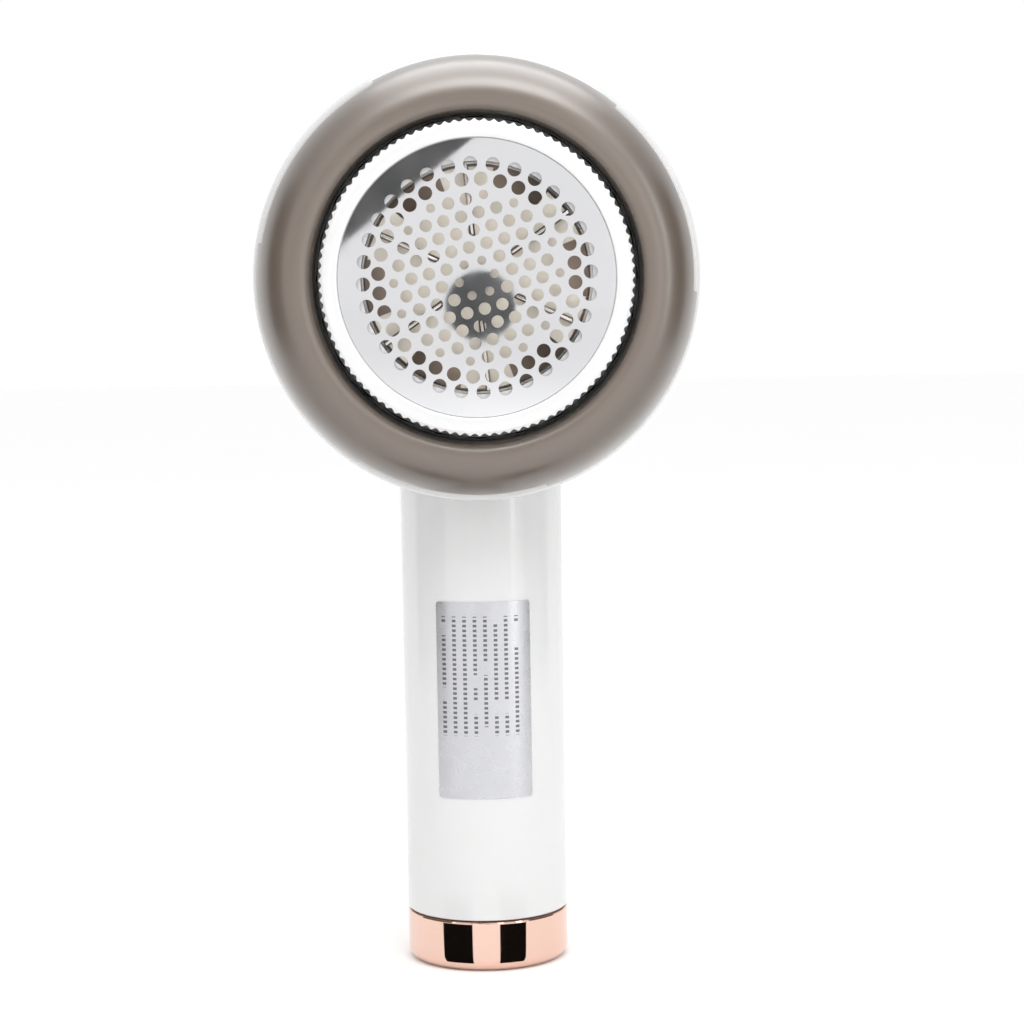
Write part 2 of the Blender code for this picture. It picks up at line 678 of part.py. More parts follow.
def build_knurled_ring():
    """Toothed ring that clamps the foil, with bayonet lugs inside."""
    low = RING_TOP_W - RING_LENGTH
    teeth = []
    for i in range(TOOTH_COUNT):
        teeth.append(polar(RING_R, 360.0 * i / TOOTH_COUNT))
        teeth.append(polar(RING_R - TOOTH_DEPTH, 360.0 * (i + 0.5) / TOOTH_COUNT))
    ring = prisms("knurled_ring", [teeth], low, RING_TOP_W, HEAD, WHITE)
    lip_r = FOIL_R - TOOTH_DEPTH
    bore = turned("ring_bore", [
        (0.0, RING_TOP_W + 1.0), (lip_r, RING_TOP_W + 1.0), (lip_r, LIP_LOW_W),
        (RING_BORE_R, LIP_LOW_W), (RING_BORE_R, low - 1.0), (0.0, low - 1.0)],
        HEAD, steps=MID_STEPS)
    chamfer = turned("ring_chamfer", [
        (RING_R - 1.4, RING_TOP_W + 0.6), (RING_R + 1.0, RING_TOP_W + 0.6),
        (RING_R + 1.0, RING_TOP_W - 1.8)], HEAD, steps=TOOTH_COUNT)
    lugs = prisms("ring_lugs", [
        sector(RING_BORE_R - LUG_REACH, RING_BORE_R + 0.5, 60.0 + 120.0 * i, LUG_SPAN, 5)
        for i in range(LUG_COUNT)], CLAMP_LOW_W - SLIDE_GAP - LUG_THICK,
        CLAMP_LOW_W - SLIDE_GAP, HEAD)
    combine(ring, "DIFFERENCE", bore, chamfer)
    combine(ring, "UNION", lugs)


# ---------------------------------------------------------------- rotor and motor

def blade_angles():
    """Give the angle of each blade and petal."""
    return [PETAL_TURN + 360.0 / PETAL_COUNT * i for i in range(PETAL_COUNT)]


def radial_strip(start, end, width, angle):
    """Give the outline of a strip that runs outwards at an angle."""
    turn = math.radians(angle)
    corners = ((start, -width / 2.0), (end, -width / 2.0),
               (end, width / 2.0), (start, width / 2.0))
    return [(x * math.cos(turn) - y * math.sin(turn),
             x * math.sin(turn) + y * math.cos(turn)) for x, y in corners]


def build_rotor():
    """Rotor disc with hub, petals and fan vanes, slotted for the blades."""
    hub_low = DISC_TOP_W - HUB_LENGTH
    rotor = turned("rotor", [
        (BORE_R, hub_low), (HUB_R, hub_low), (HUB_R, DISC_LOW_W), (DISC_R, DISC_LOW_W),
        (DISC_R, DISC_TOP_W), (BORE_R, DISC_TOP_W)], HEAD, CREAM, MID_STEPS)
    petals = prisms("rotor_petals", [sector(DISC_R - 2.0, PETAL_R, a, PETAL_SPAN, 4)
                                     for a in blade_angles()],
                    DISC_LOW_W + 0.2, DISC_TOP_W - 0.2, HEAD)
    vanes = prisms("rotor_vanes", [
        radial_strip(HUB_R + 1.0, DISC_R - 1.0, VANE_THICK, a + 180.0 / PETAL_COUNT)
        for a in blade_angles()], DISC_LOW_W - VANE_DROP, DISC_LOW_W + 0.5, HEAD)
    slots = prisms("blade_slots", [
        radial_strip(BLADE_START_R - GAP, BLADE_R + 1.0, BLADE_THICK + 2.0 * GAP, a)
        for a in blade_angles()], DISC_LOW_W - 1.0, DISC_TOP_W + 1.0, HEAD)
    combine(rotor, "UNION", petals, vanes)
    combine(rotor, "DIFFERENCE", slots)
    for number, angle in enumerate(blade_angles(), 1):
        prisms(f"blade_{number}", [radial_strip(BLADE_START_R, BLADE_R, BLADE_THICK,
                                                angle)],
               BLADE_TOP_W - BLADE_DROP, BLADE_TOP_W, HEAD, STEEL)
    turned("rotor_cap", [
        (0.0, DISC_TOP_W + 1.1), (2.8, DISC_TOP_W + 1.1), (2.8, DISC_TOP_W + GAP),
        (SHAFT_R, DISC_TOP_W + GAP), (SHAFT_R, DISC_TOP_W - 2.1),
        (0.0, DISC_TOP_W - 2.1)], HEAD, STEEL, SMALL_STEPS)


def build_motor():
    """Motor can, magnets, bush, end bell, shaft, armature and terminals."""
    inner = MOTOR_R - MOTOR_WALL
    mouth = SHAFT_R + GAP + BUSH_WALL + GAP
    can = turned("motor_can", [
        (mouth, MOTOR_TOP_W), (MOTOR_R - 1.0, MOTOR_TOP_W), (MOTOR_R, MOTOR_TOP_W - 1.0),
        (MOTOR_R, MOTOR_LOW_W), (inner, MOTOR_LOW_W), (inner, MOTOR_TOP_W - MOTOR_WALL),
        (mouth, MOTOR_TOP_W - MOTOR_WALL)], HEAD, STEEL, SMALL_STEPS + 8)
    holes = motor_screw_holes("can_screw_holes", MOTOR_TOP_W - 3.0, MOTOR_TOP_W + 1.0)
    combine(can, "DIFFERENCE", holes)
    bush_top = MOTOR_TOP_W - 0.1
    bush_low = bush_top - BUSH_LENGTH
    turned("motor_bush", [
        (BORE_R, bush_low), (mouth - GAP, bush_low), (mouth - GAP, bush_top),
        (BORE_R, bush_top)],
        HEAD, BRASS, TINY_STEPS)
    low = MOTOR_LOW_W - GAP
    shaft_low = low - 1.1
    turned("motor_end_bell", [
        (0.0, shaft_low - GAP), (BORE_R, shaft_low - GAP), (BORE_R, low + 2.1),
        (3.0, low + 2.1), (3.0, low + 0.6), (inner - 1.3, low + 0.6),
        (inner - 1.3, low + 2.8), (inner - GAP, low + 2.8), (inner - GAP, low),
        (MOTOR_R - 0.1, low), (MOTOR_R - 0.1, low - BELL_PLATE),
        (0.0, low - BELL_PLATE)], HEAD, BLACK, SMALL_STEPS)
    rod("motor_shaft", SHAFT_R, shaft_low, DISC_TOP_W - 2.1 - GAP, HEAD, STEEL,
        TINY_STEPS)
    stack_low = MOTOR_LOW_W + 7.0
    armature = turned("armature", [
        (BORE_R, stack_low + ARMATURE_LENGTH), (ARMATURE_R, stack_low + ARMATURE_LENGTH),
        (ARMATURE_R, stack_low), (3.0, stack_low), (3.0, stack_low - 3.5),
        (BORE_R, stack_low - 3.5)], HEAD, BRASS, SMALL_STEPS)
    slots = prisms("armature_slots", [sector(5.0, ARMATURE_R + 1.0, 120.0 * i, 20.0, 2)
                                      for i in range(3)],
                   stack_low - 1.0, stack_low + ARMATURE_LENGTH + 1.0, HEAD)
    combine(armature, "DIFFERENCE", slots)
    magnet_r = inner - GAP
    for number, angle in enumerate((0.0, 180.0), 1):
        prisms(f"motor_magnet_{number}",
               [sector(magnet_r - MAGNET, magnet_r, angle, MAGNET_SPAN, 8)],
               stack_low, stack_low + ARMATURE_LENGTH, HEAD, MAGNET_GREY)
    for number, side in enumerate((-1.0, 1.0), 1):
        block(f"motor_terminal_{number}", (2.4, 0.5, 2.9),
              (side * TERMINAL_X, 0.0, low - BELL_PLATE - GAP - 1.45), HEAD, BRASS)


# ---------------------------------------------------------------- lint bin

def build_lint_bin():
    """Smoky doughnut bin with finger notches, and the plate that closes its back."""
    skirt_w = BIN_LOW_W + SKIRT_HEIGHT
    outer = crown(CROWN_R, BIN_R, skirt_w, BIN_TOP_W, BIN_POWER, 7)
    inner = crown(CROWN_R, SKIRT_INNER_R, skirt_w, BIN_TOP_W - BIN_WALL, BIN_POWER, 4)
    lip = [(MOUTH_R, BIN_TOP_W - LIP_DEPTH - 0.5)]
    lip += [(CROWN_R - LIP_ROUND * math.cos(math.radians(a)),
             BIN_TOP_W - LIP_ROUND * 0.6 * (1.0 - math.sin(math.radians(a))))
            for a in (0.0, 30.0, 60.0)]
    edge = [(BIN_R, BIN_LOW_W), (SKIRT_INNER_R, BIN_LOW_W)]
    lip_out = MOUTH_R + LIP_WALL
    throat = [(lip_out, BIN_TOP_W - BIN_WALL - 0.6),
              (lip_out, BIN_TOP_W - LIP_DEPTH - 0.5)]
    dome = turned("lint_bin", lip + outer + edge + inner[::-1] + throat, HEAD, SMOKE,
                  BIG_STEPS)
    notches = prisms("bin_notches", [
        sector(BIN_R - NOTCH_DEPTH, BIN_R + 3.0, centre, span, 9)
        for centre, span in NOTCHES], BIN_LOW_W - 1.0, BIN_TOP_W - 4.0, HEAD)
    combine(dome, "DIFFERENCE", notches)
    low = BIN_LOW_W + GAP
    hole = COLLAR_R + SLIDE_GAP + GAP
    turned("bin_base", [
        (hole, low), (SKIRT_INNER_R - SLIDE_GAP, low),
        (SKIRT_INNER_R - SLIDE_GAP, low + BIN_PLATE), (hole, low + BIN_PLATE)],
        HEAD, SMOKE, BIG_STEPS)


# ---------------------------------------------------------------- handle contents

def build_battery_carrier():
    """Cradle with two bulkheads and the rails that carry the circuit board."""
    radius = HANDLE_INNER_R - SLIDE_GAP
    low, high = LOW_BULKHEAD_Z, TOP_BULKHEAD_Z + BULKHEAD
    cradle_r = CELL_R + GAP + 0.05
    carrier = prisms("battery_carrier", [
        sector(cradle_r, cradle_r + CRADLE_WALL, 270.0, 170.0, 12)],
        low + 0.6, high - 0.6, None, GREY)
    feet = [rod("low_bulkhead", radius, low, low + BULKHEAD, steps=MID_STEPS),
            rod("top_bulkhead", radius, TOP_BULKHEAD_Z, high, steps=MID_STEPS)]
    rail_back = BOARD_Y - BOARD_THICK / 2.0 - GAP
    for side in (-1.0, 1.0):
        feet.append(block("rail", (RAIL_WIDTH, 3.4, BOARD_HEIGHT),
                          (side * RAIL_X, rail_back - 1.7,
                           high - 0.6 + BOARD_HEIGHT / 2.0)))
    notches = prisms("wire_notches", [polygon(WIRE_R + 0.5, 8, (side * WIRE_X, WIRE_Y))
                                      for side in (-1.0, 1.0)], low - 1.0, high + 1.0)
    combine(carrier, "UNION", *feet)
    combine(carrier, "DIFFERENCE", notches)


def build_cell():
    """Lithium cell and its two contact plates."""
    turned("battery_cell", [
        (0.0, CELL_TOP_Z), (2.8, CELL_TOP_Z), (2.8, CELL_TOP_Z - 0.6),
        (CELL_R - 0.7, CELL_TOP_Z - 0.6), (CELL_R, CELL_TOP_Z - 1.3),
        (CELL_R, CELL_Z + 0.6), (CELL_R - 0.6, CELL_Z), (0.0, CELL_Z)],
        None, CELL_WRAP, SMALL_STEPS + 8)
    rod("contact_minus", CONTACT_R, CELL_Z - GAP - CONTACT_THICK, CELL_Z - GAP, None,
        STEEL)
    rod("contact_plus", CONTACT_R, CELL_TOP_Z + GAP, CELL_TOP_Z + GAP + CONTACT_THICK,
        None, STEEL)


def build_boards():
    """Circuit board, charging board, charging socket and charge light."""
    block("circuit_board", (BOARD_WIDTH, BOARD_THICK, BOARD_HEIGHT),
          (0.0, BOARD_Y, CIRCUIT_LOW_Z + BOARD_HEIGHT / 2.0), None, BOARD)
    width, length = CHARGE_BOARD_SIZE
    front = HANDLE_INNER_R - 3.2
    block("charge_board", (width, length, BOARD_THICK),
          (0.0, front - length / 2.0, CHARGE_BOARD_Z + BOARD_THICK / 2.0), None, BOARD)
    wide, deep, high = SOCKET_SIZE
    face = HANDLE_INNER_R - 1.0
    socket = block("charge_socket", (wide, high, deep), (0.0, 0.0, face - deep / 2.0),
                   SOCKET, BLACK)
    nose = rod("socket_nose", SOCKET_NOSE_R, face - 0.5, HANDLE_R - 0.3, SOCKET)
    bore = turned("socket_bore", [
        (SOCKET_PIN_R, face - 4.0), (SOCKET_BORE_R, face - 4.0),
        (SOCKET_BORE_R, HANDLE_R + 1.0), (SOCKET_PIN_R, HANDLE_R + 1.0)],
        SOCKET, steps=TINY_STEPS)
    combine(socket, "UNION", nose)
    combine(socket, "DIFFERENCE", bore)
    rod("charge_light", LIGHT_R, HANDLE_INNER_R - 1.4, HANDLE_R, LIGHT, LIGHT_CLEAR,
        TINY_STEPS)


def build_button():
    """Power button with its bezel, return spring and tactile switch."""
    turned("button_cap", [
        (0.0, BUTTON_TOP_Y), (BUTTON_R - 1.4, BUTTON_TOP_Y - 0.1),
        (BUTTON_R - 0.4, BUTTON_TOP_Y - 0.4), (BUTTON_R, BUTTON_TOP_Y - 1.0),
        (BUTTON_R, FLANGE_TOP_Y), (FLANGE_R, FLANGE_TOP_Y), (FLANGE_R, FLANGE_LOW_Y),
        (1.5, FLANGE_LOW_Y), (1.5, STEM_LOW_Y), (0.0, STEM_LOW_Y)],
        BUTTON, WHITE, SMALL_STEPS)
    turned("button_bezel", [
        (BEZEL_IN_R, BEZEL_LOW_Y), (BEZEL_OUT_R, BEZEL_LOW_Y),
        (BEZEL_OUT_R, BEZEL_TOP_Y - 0.4), (BEZEL_OUT_R - 0.4, BEZEL_TOP_Y),
        (BEZEL_IN_R, BEZEL_TOP_Y)], BUTTON, ROSE_GOLD, SMALL_STEPS)
    housing = block("switch_housing", (SWITCH_SIZE, SWITCH_SIZE, SWITCH_HEIGHT),
                    (0.0, 0.0, SWITCH_LOW_Y + SWITCH_HEIGHT / 2.0), BUTTON, BLACK)
    plunger_low = PLUNGER_TOP_Y - PLUNGER_LENGTH
    well = rod("plunger_well", PLUNGER_R + GAP, plunger_low - BUTTON_TRAVEL - GAP,
               SWITCH_TOP_Y + 1.0, BUTTON, steps=TINY_STEPS)
    combine(housing, "DIFFERENCE", well)
    rod("switch_plunger", PLUNGER_R, plunger_low, PLUNGER_TOP_Y, BUTTON, CREAM,
        TINY_STEPS)
    low = SWITCH_LOW_Y + SPRING_WIRE_R
    high = FLANGE_LOW_Y - GAP - SPRING_WIRE_R
    per_turn = 8
    count = SPRING_TURNS * per_turn
    coil_r = BUTTON_R - 0.1
    coil = [(*polar(coil_r, 360.0 * i / per_turn), low + (high - low) * i / count)
            for i in range(count + 1)]
    wire("button_spring", coil, SPRING_WIRE_R, BUTTON, STEEL)


def build_leads():
    """Insulated wires between the cell, the boards and the motor."""
    start_z = CIRCUIT_LOW_Z + BOARD_HEIGHT - 3.0
    board_face = BOARD_Y + BOARD_THICK / 2.0 + GAP + WIRE_R
    back_y = BACK_DEPTH - CUP_W - SHELL_WALL
    for name, side, finish in (("motor_lead_red", -1.0, RED_WIRE),
                               ("motor_lead_black", 1.0, BLACK_WIRE)):
        route = [(side * 5.0, board_face, start_z),
                 (side * 5.0, board_face + 1.0, start_z + 3.5),
                 (side * 6.0, back_y - 6.0, HEAD_Z - 16.5),
                 (side * 7.0, back_y - 2.8, HEAD_Z - 13.0),
                 (side * 7.2, back_y - 1.5, HEAD_Z - 8.0),
                 (side * 7.0, back_y - 2.0, HEAD_Z - 0.8)]
        wire(name, smooth_route(route), WIRE_R, None, finish)
    top = CIRCUIT_LOW_Z - 0.5
    wire("battery_lead", [(-WIRE_X, WIRE_Y, CELL_Z), (-WIRE_X, WIRE_Y, top)], WIRE_R,
         None, BLACK_WIRE)
    wire("charge_lead", [(WIRE_X, WIRE_Y, CHARGE_BOARD_Z + BOARD_THICK),
                         (WIRE_X, WIRE_Y, top)], WIRE_R, None, RED_WIRE)


def settle():
    """Turn each part's modifiers into its mesh and shade the round faces smooth."""
    graph = bpy.context.evaluated_depsgraph_get()
    made = [obj for obj in PARTS.objects if obj.type in ("MESH", "CURVE")]
    meshes = [bpy.data.meshes.new_from_object(obj.evaluated_get(graph)) for obj in made]
    for obj, mesh in zip(made, meshes):
        finished = obj
        if obj.type == "CURVE":
            name = obj.name
            obj.name = name + "_curve"
            finished = bpy.data.objects.new(name, mesh)
            finished.parent = obj.parent
            PARTS.objects.link(finished)
            bpy.data.objects.remove(obj, do_unlink=True)
            weld(mesh)
        finished.modifiers.clear()
        finished.data = mesh
        mesh.shade_smooth()
        mesh.set_sharp_from_angle(angle=math.radians(32.0))


def weld(mesh):
    """Join a wire's loose end caps to its side."""
    shape = bmesh.new()
    shape.from_mesh(mesh)
    bmesh.ops.remove_doubles(shape, verts=shape.verts, dist=1e-6)
    bmesh.ops.recalc_face_normals(shape, faces=shape.faces)
    shape.to_mesh(mesh)
    shape.free()


def build_all():
    """Build every sub-part of the shaver."""
    build_body_shell()
    build_base_cap()
    build_label()
    build_front_deck()
    build_screws()
    build_cutter_seat()
    build_foil()
    build_knurled_ring()
    build_rotor()
    build_motor()
    build_lint_bin()
    build_battery_carrier()
    build_cell()
    build_boards()
    build_button()
    build_leads()
    settle()


build_all()
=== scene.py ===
"""Looks of a rechargeable fabric shaver: white handle and head, smoky lint bin, mirror foil."""

import logging
import math
from dataclasses import dataclass, field
from enum import Enum
from typing import Any, Callable, Optional

import bmesh
import bpy
from mathutils import Matrix, Vector


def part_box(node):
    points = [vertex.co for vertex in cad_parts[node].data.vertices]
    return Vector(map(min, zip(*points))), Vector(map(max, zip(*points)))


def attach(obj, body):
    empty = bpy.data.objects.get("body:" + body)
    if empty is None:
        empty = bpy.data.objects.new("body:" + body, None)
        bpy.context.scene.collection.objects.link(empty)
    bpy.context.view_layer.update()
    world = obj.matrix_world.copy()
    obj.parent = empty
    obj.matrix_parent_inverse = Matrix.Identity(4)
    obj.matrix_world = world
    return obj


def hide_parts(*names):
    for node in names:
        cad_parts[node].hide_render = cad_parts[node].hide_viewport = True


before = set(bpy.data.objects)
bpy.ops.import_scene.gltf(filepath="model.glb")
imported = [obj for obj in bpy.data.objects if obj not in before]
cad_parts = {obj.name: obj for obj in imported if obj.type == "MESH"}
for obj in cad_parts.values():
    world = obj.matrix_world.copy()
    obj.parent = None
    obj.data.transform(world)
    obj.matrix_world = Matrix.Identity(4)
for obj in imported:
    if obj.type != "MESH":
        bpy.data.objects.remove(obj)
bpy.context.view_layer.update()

MM = 0.001
TURN = 2.0 * math.pi
MERGE = 2e-6

CAD_FRONT_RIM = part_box("body_shell")[0][1]

Profile = list[tuple[float, float]]
Point = tuple[float, float, float]
Piece = bpy.types.Object
Material = bpy.types.Material
Tree = bpy.types.NodeTree
Socket = bpy.types.NodeSocket
log = logging.getLogger("fabric_shaver")


# ---------------------------------------------------------------- geometry helpers

@dataclass(frozen=True)
class Axis:
    """A turning axis in metres: where it starts, where it points, and a side direction."""

    origin: Vector
    ahead: Vector
    side: Vector

    def point(self, radius: float, along: float) -> Vector:
        """Place a profile point.

        Args:
            radius: distance from the axis in millimetres.
            along: distance ahead of the origin in millimetres.

        Returns:
            The point in metres.
        """
        return self.origin + self.side * radius * MM + self.ahead * along * MM


def box_centre(node: str) -> Vector:
    """Give the centre of a CAD node's box in metres."""
    low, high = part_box(node)
    return (Vector(low) + Vector(high)) / 2.0


X_SIDE = Vector((1.0, 0.0, 0.0))
Y_BACK = Vector((0.0, 1.0, 0.0))
HEAD_AXIS = Axis(Vector((0.0, 0.0, box_centre("foil").z)), -Y_BACK, X_SIDE)
HANDLE_AXIS = Axis(Vector((0.0, 0.0, 0.0)), Vector((0.0, 0.0, 1.0)), X_SIDE)
BUTTON_AXIS = Axis(Vector((0.0, 0.0, box_centre("button_cap").z)), Y_BACK, X_SIDE)


def node_radius(node: str) -> float:
    """Give half a CAD node's width in millimetres."""
    low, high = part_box(node)
    return (high[0] - low[0]) / 2.0 / MM


def node_front(node: str) -> float:
    """Give how far in front of the handle's axis a CAD node reaches, in millimetres."""
    low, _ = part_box(node)
    return -low[1] / MM


def deselect() -> None:
    """Leave every object unselected, in object mode."""
    if bpy.context.mode != "OBJECT":
        bpy.ops.object.mode_set(mode="OBJECT")
    bpy.ops.object.select_all(action="DESELECT")


def activate(piece: Piece) -> None:
    """Select one object alone and make it active."""
    deselect()
    piece.select_set(True)
    bpy.context.view_layer.objects.active = piece


def quarter(inner: float, outer: float, low: float, high: float, power: float,
            steps: int) -> Profile:
    """Give a superellipse quarter from (inner, high) out to (outer, low).

    Args:
        inner: radius where it starts.
        outer: radius where it ends.
        low: distance along the axis where it ends.
        high: distance along the axis where it starts.
        power: 2 for an ellipse, more for a squarer curve.
        steps: how many segments it has.

    Returns:
        Its points.
    """
    points = []
    for i in range(steps + 1):
        angle = math.pi / 2.0 * i / steps
        across = math.sin(angle) ** (2.0 / power) if i else 0.0
        up = math.cos(angle) ** (2.0 / power) if i < steps else 0.0
        points.append((inner + (outer - inner) * across, low + (high - low) * up))
    return points


def arc(centre: tuple[float, float], radius: float, start: float, end: float,
        steps: int = 8) -> Profile:
    """Give points along an arc of a profile.

    Args:
        centre: the arc's centre.
        radius: its radius.
        start: its first angle in degrees.
        end: its last angle in degrees.
        steps: how many segments it has.

    Returns:
        Its points.
    """
    points = []
    for i in range(steps + 1):
        angle = math.radians(start + (end - start) * i / steps)
        points.append((centre[0] + radius * math.cos(angle),
                       centre[1] + radius * math.sin(angle)))
    return points


def lathe(name: str, axis: Axis, profile: Profile, steps: int) -> Piece:
    """Draw a profile by extruding a vertex and spin it round an axis.

    Args:
        name: the piece's name.
        axis: the axis that the profile turns round.
        profile: (radius, along) points in millimetres; it is closed unless it starts
            and ends on the axis.
        steps: how many steps make the full turn.

    Returns:
        The turned piece, closed, with its normals outwards.
    """
    deselect()
    bpy.ops.mesh.primitive_plane_add(size=MM, location=(0.0, 0.0, 0.0))
    piece = bpy.context.active_object
    piece.name = name
    bpy.ops.object.mode_set(mode="EDIT")
    bpy.ops.mesh.select_all(action="SELECT")
    bpy.ops.mesh.merge(type="CENTER")
    places = [axis.point(radius, along) for radius, along in profile]
    bpy.ops.transform.translate(value=places[0])
    for before, after in zip(places, places[1:]):
        bpy.ops.mesh.extrude_vertices_move(
            TRANSFORM_OT_translate={"value": after - before})
    on_axis = profile[0][0] == 0.0 and profile[-1][0] == 0.0
    if not on_axis:
        ends_to_join(piece, places[0], places[-1])
        bpy.ops.mesh.edge_face_add()
    bpy.ops.mesh.select_all(action="SELECT")
    bpy.ops.mesh.spin(steps=steps, angle=TURN, center=axis.origin, axis=axis.ahead)
    bpy.ops.mesh.select_all(action="SELECT")
    bpy.ops.mesh.remove_doubles(threshold=MERGE)
    bpy.ops.mesh.normals_make_consistent(inside=False)
    bpy.ops.object.mode_set(mode="OBJECT")
    return piece


def ends_to_join(piece: Piece, start: Vector, end: Vector) -> None:
    """Select only the two ends of an open profile in edit mode.

    Args:
        piece: the piece that is being drawn.
        start: the profile's first place in metres.
        end: its last place in metres.
    """
    shape = bmesh.from_edit_mesh(piece.data)
    for vert in shape.verts:
        vert.select = min((vert.co - start).length, (vert.co - end).length) < MERGE
    shape.select_flush_mode()
    bmesh.update_edit_mesh(piece.data)


def carve(piece: Piece, operation: str, *tools: Piece) -> None:
    """Cut, join or trim a piece with other solids, which are then removed.

    Args:
        piece: the piece that changes.
        operation: DIFFERENCE, UNION or INTERSECT.
        tools: the solids that change it.
    """
    for tool in tools:
        activate(piece)
        step = piece.modifiers.new("carve", "BOOLEAN")
        step.operation = operation
        step.solver = "EXACT"
        step.object = tool
        bpy.ops.object.modifier_apply(modifier=step.name)
        bpy.data.objects.remove(tool, do_unlink=True)


def smooth(piece: Piece, degrees: float = 32.0) -> None:
    """Shade a piece smooth except across edges sharper than an angle."""
    activate(piece)
    bpy.ops.object.shade_smooth_by_angle(angle=math.radians(degrees))


def merge_close(piece: Piece) -> None:
    """Merge vertices that lie in one place.

    Args:
        piece: the piece that changes.
    """
    activate(piece)
    bpy.ops.object.mode_set(mode="EDIT")
    bpy.ops.mesh.select_all(action="SELECT")
    bpy.ops.mesh.remove_doubles(threshold=MERGE)
    bpy.ops.object.mode_set(mode="OBJECT")


def thicken(piece: Piece, depth: float) -> None:
    """Give an open sheet a thickness outwards.

    Args:
        piece: the sheet.
        depth: its thickness in millimetres.
    """
    activate(piece)
    wall = piece.modifiers.new("thickness", "SOLIDIFY")
    wall.thickness = depth * MM
    wall.offset = 1.0
    bpy.ops.object.modifier_apply(modifier=wall.name)


def reshape(piece: Piece, move: Callable[[Vector], Vector]) -> None:
    """Move every vertex of a piece by a rule.

    Args:
        piece: the piece that changes.
        move: gives a vertex's new place from its old one, in metres.
    """
    for vert in piece.data.vertices:
        vert.co = move(vert.co)
    piece.data.update()


def head_polar(place: Vector) -> Point:
    """Measure a point from the head's axis.

    Args:
        place: the point in metres.

    Returns:
        Its radius in millimetres, angle in degrees and millimetres ahead.
    """
    across = place.x / MM
    up = (place.z - HEAD_AXIS.origin.z) / MM
    return math.hypot(across, up), math.degrees(math.atan2(up, across)), -place.y / MM


def head_place(radius: float, degrees: float, ahead: float) -> Vector:
    """Find a point from its measures on the head's axis.

    Args:
        radius: distance from the axis in millimetres.
        degrees: angle round the axis, from +X towards +Z.
        ahead: distance ahead in millimetres.

    Returns:
        The point in metres.
    """
    angle = math.radians(degrees)
    return Vector((radius * math.cos(angle) * MM, -ahead * MM,
                   HEAD_AXIS.origin.z + radius * math.sin(angle) * MM))


def ramp(value: float, low: float, high: float) -> float:
    """Rise smoothly from 0 at low to 1 at high."""
    t = min(max((value - low) / (high - low), 0.0), 1.0)
    return t * t * (3.0 - 2.0 * t)


# ---------------------------------------------------------------- finishes

def linear(colour: str) -> tuple[float, float, float, float]:
    """Turn an sRGB colour linear.

    Args:
        colour: the colour as #rrggbb.

    Returns:
        Linear red, green, blue and alpha.
    """
    parts = [int(colour[i:i + 2], 16) / 255.0 for i in (1, 3, 5)]
    lit = [p / 12.92 if p <= 0.04045 else ((p + 0.055) / 1.055) ** 2.4 for p in parts]
    return (lit[0], lit[1], lit[2], 1.0)


def add_node(tree: Tree, kind: str, inputs: Optional[dict[Any, Any]] = None,
             **settings: Any) -> bpy.types.Node:
    """Add a shader node with its settings, values and links.

    Args:
        tree: the material's node tree.
        kind: the node's type.
        inputs: a value, or the socket to link from, for each input by name or number.
        settings: the node's own properties.

    Returns:
        The node.
    """
    made = tree.nodes.new(kind)
    for name, value in settings.items():
        setattr(made, name, value)
    for name, value in (inputs or {}).items():
        if isinstance(value, Socket):
            tree.links.new(value, made.inputs[name])
        else:
            made.inputs[name].default_value = value
    return made


class Grain(Enum):
    """How a surface was made, as the stretch of its grain along X, Y and Z."""

    MOULDED = (1.0, 1.0, 1.0)
    BRUSHED_ACROSS = (0.04, 1.0, 1.0)
    DRAWN_UP = (1.0, 1.0, 0.03)
    TURNED_FRONT = (1.0, 0.05, 1.0)


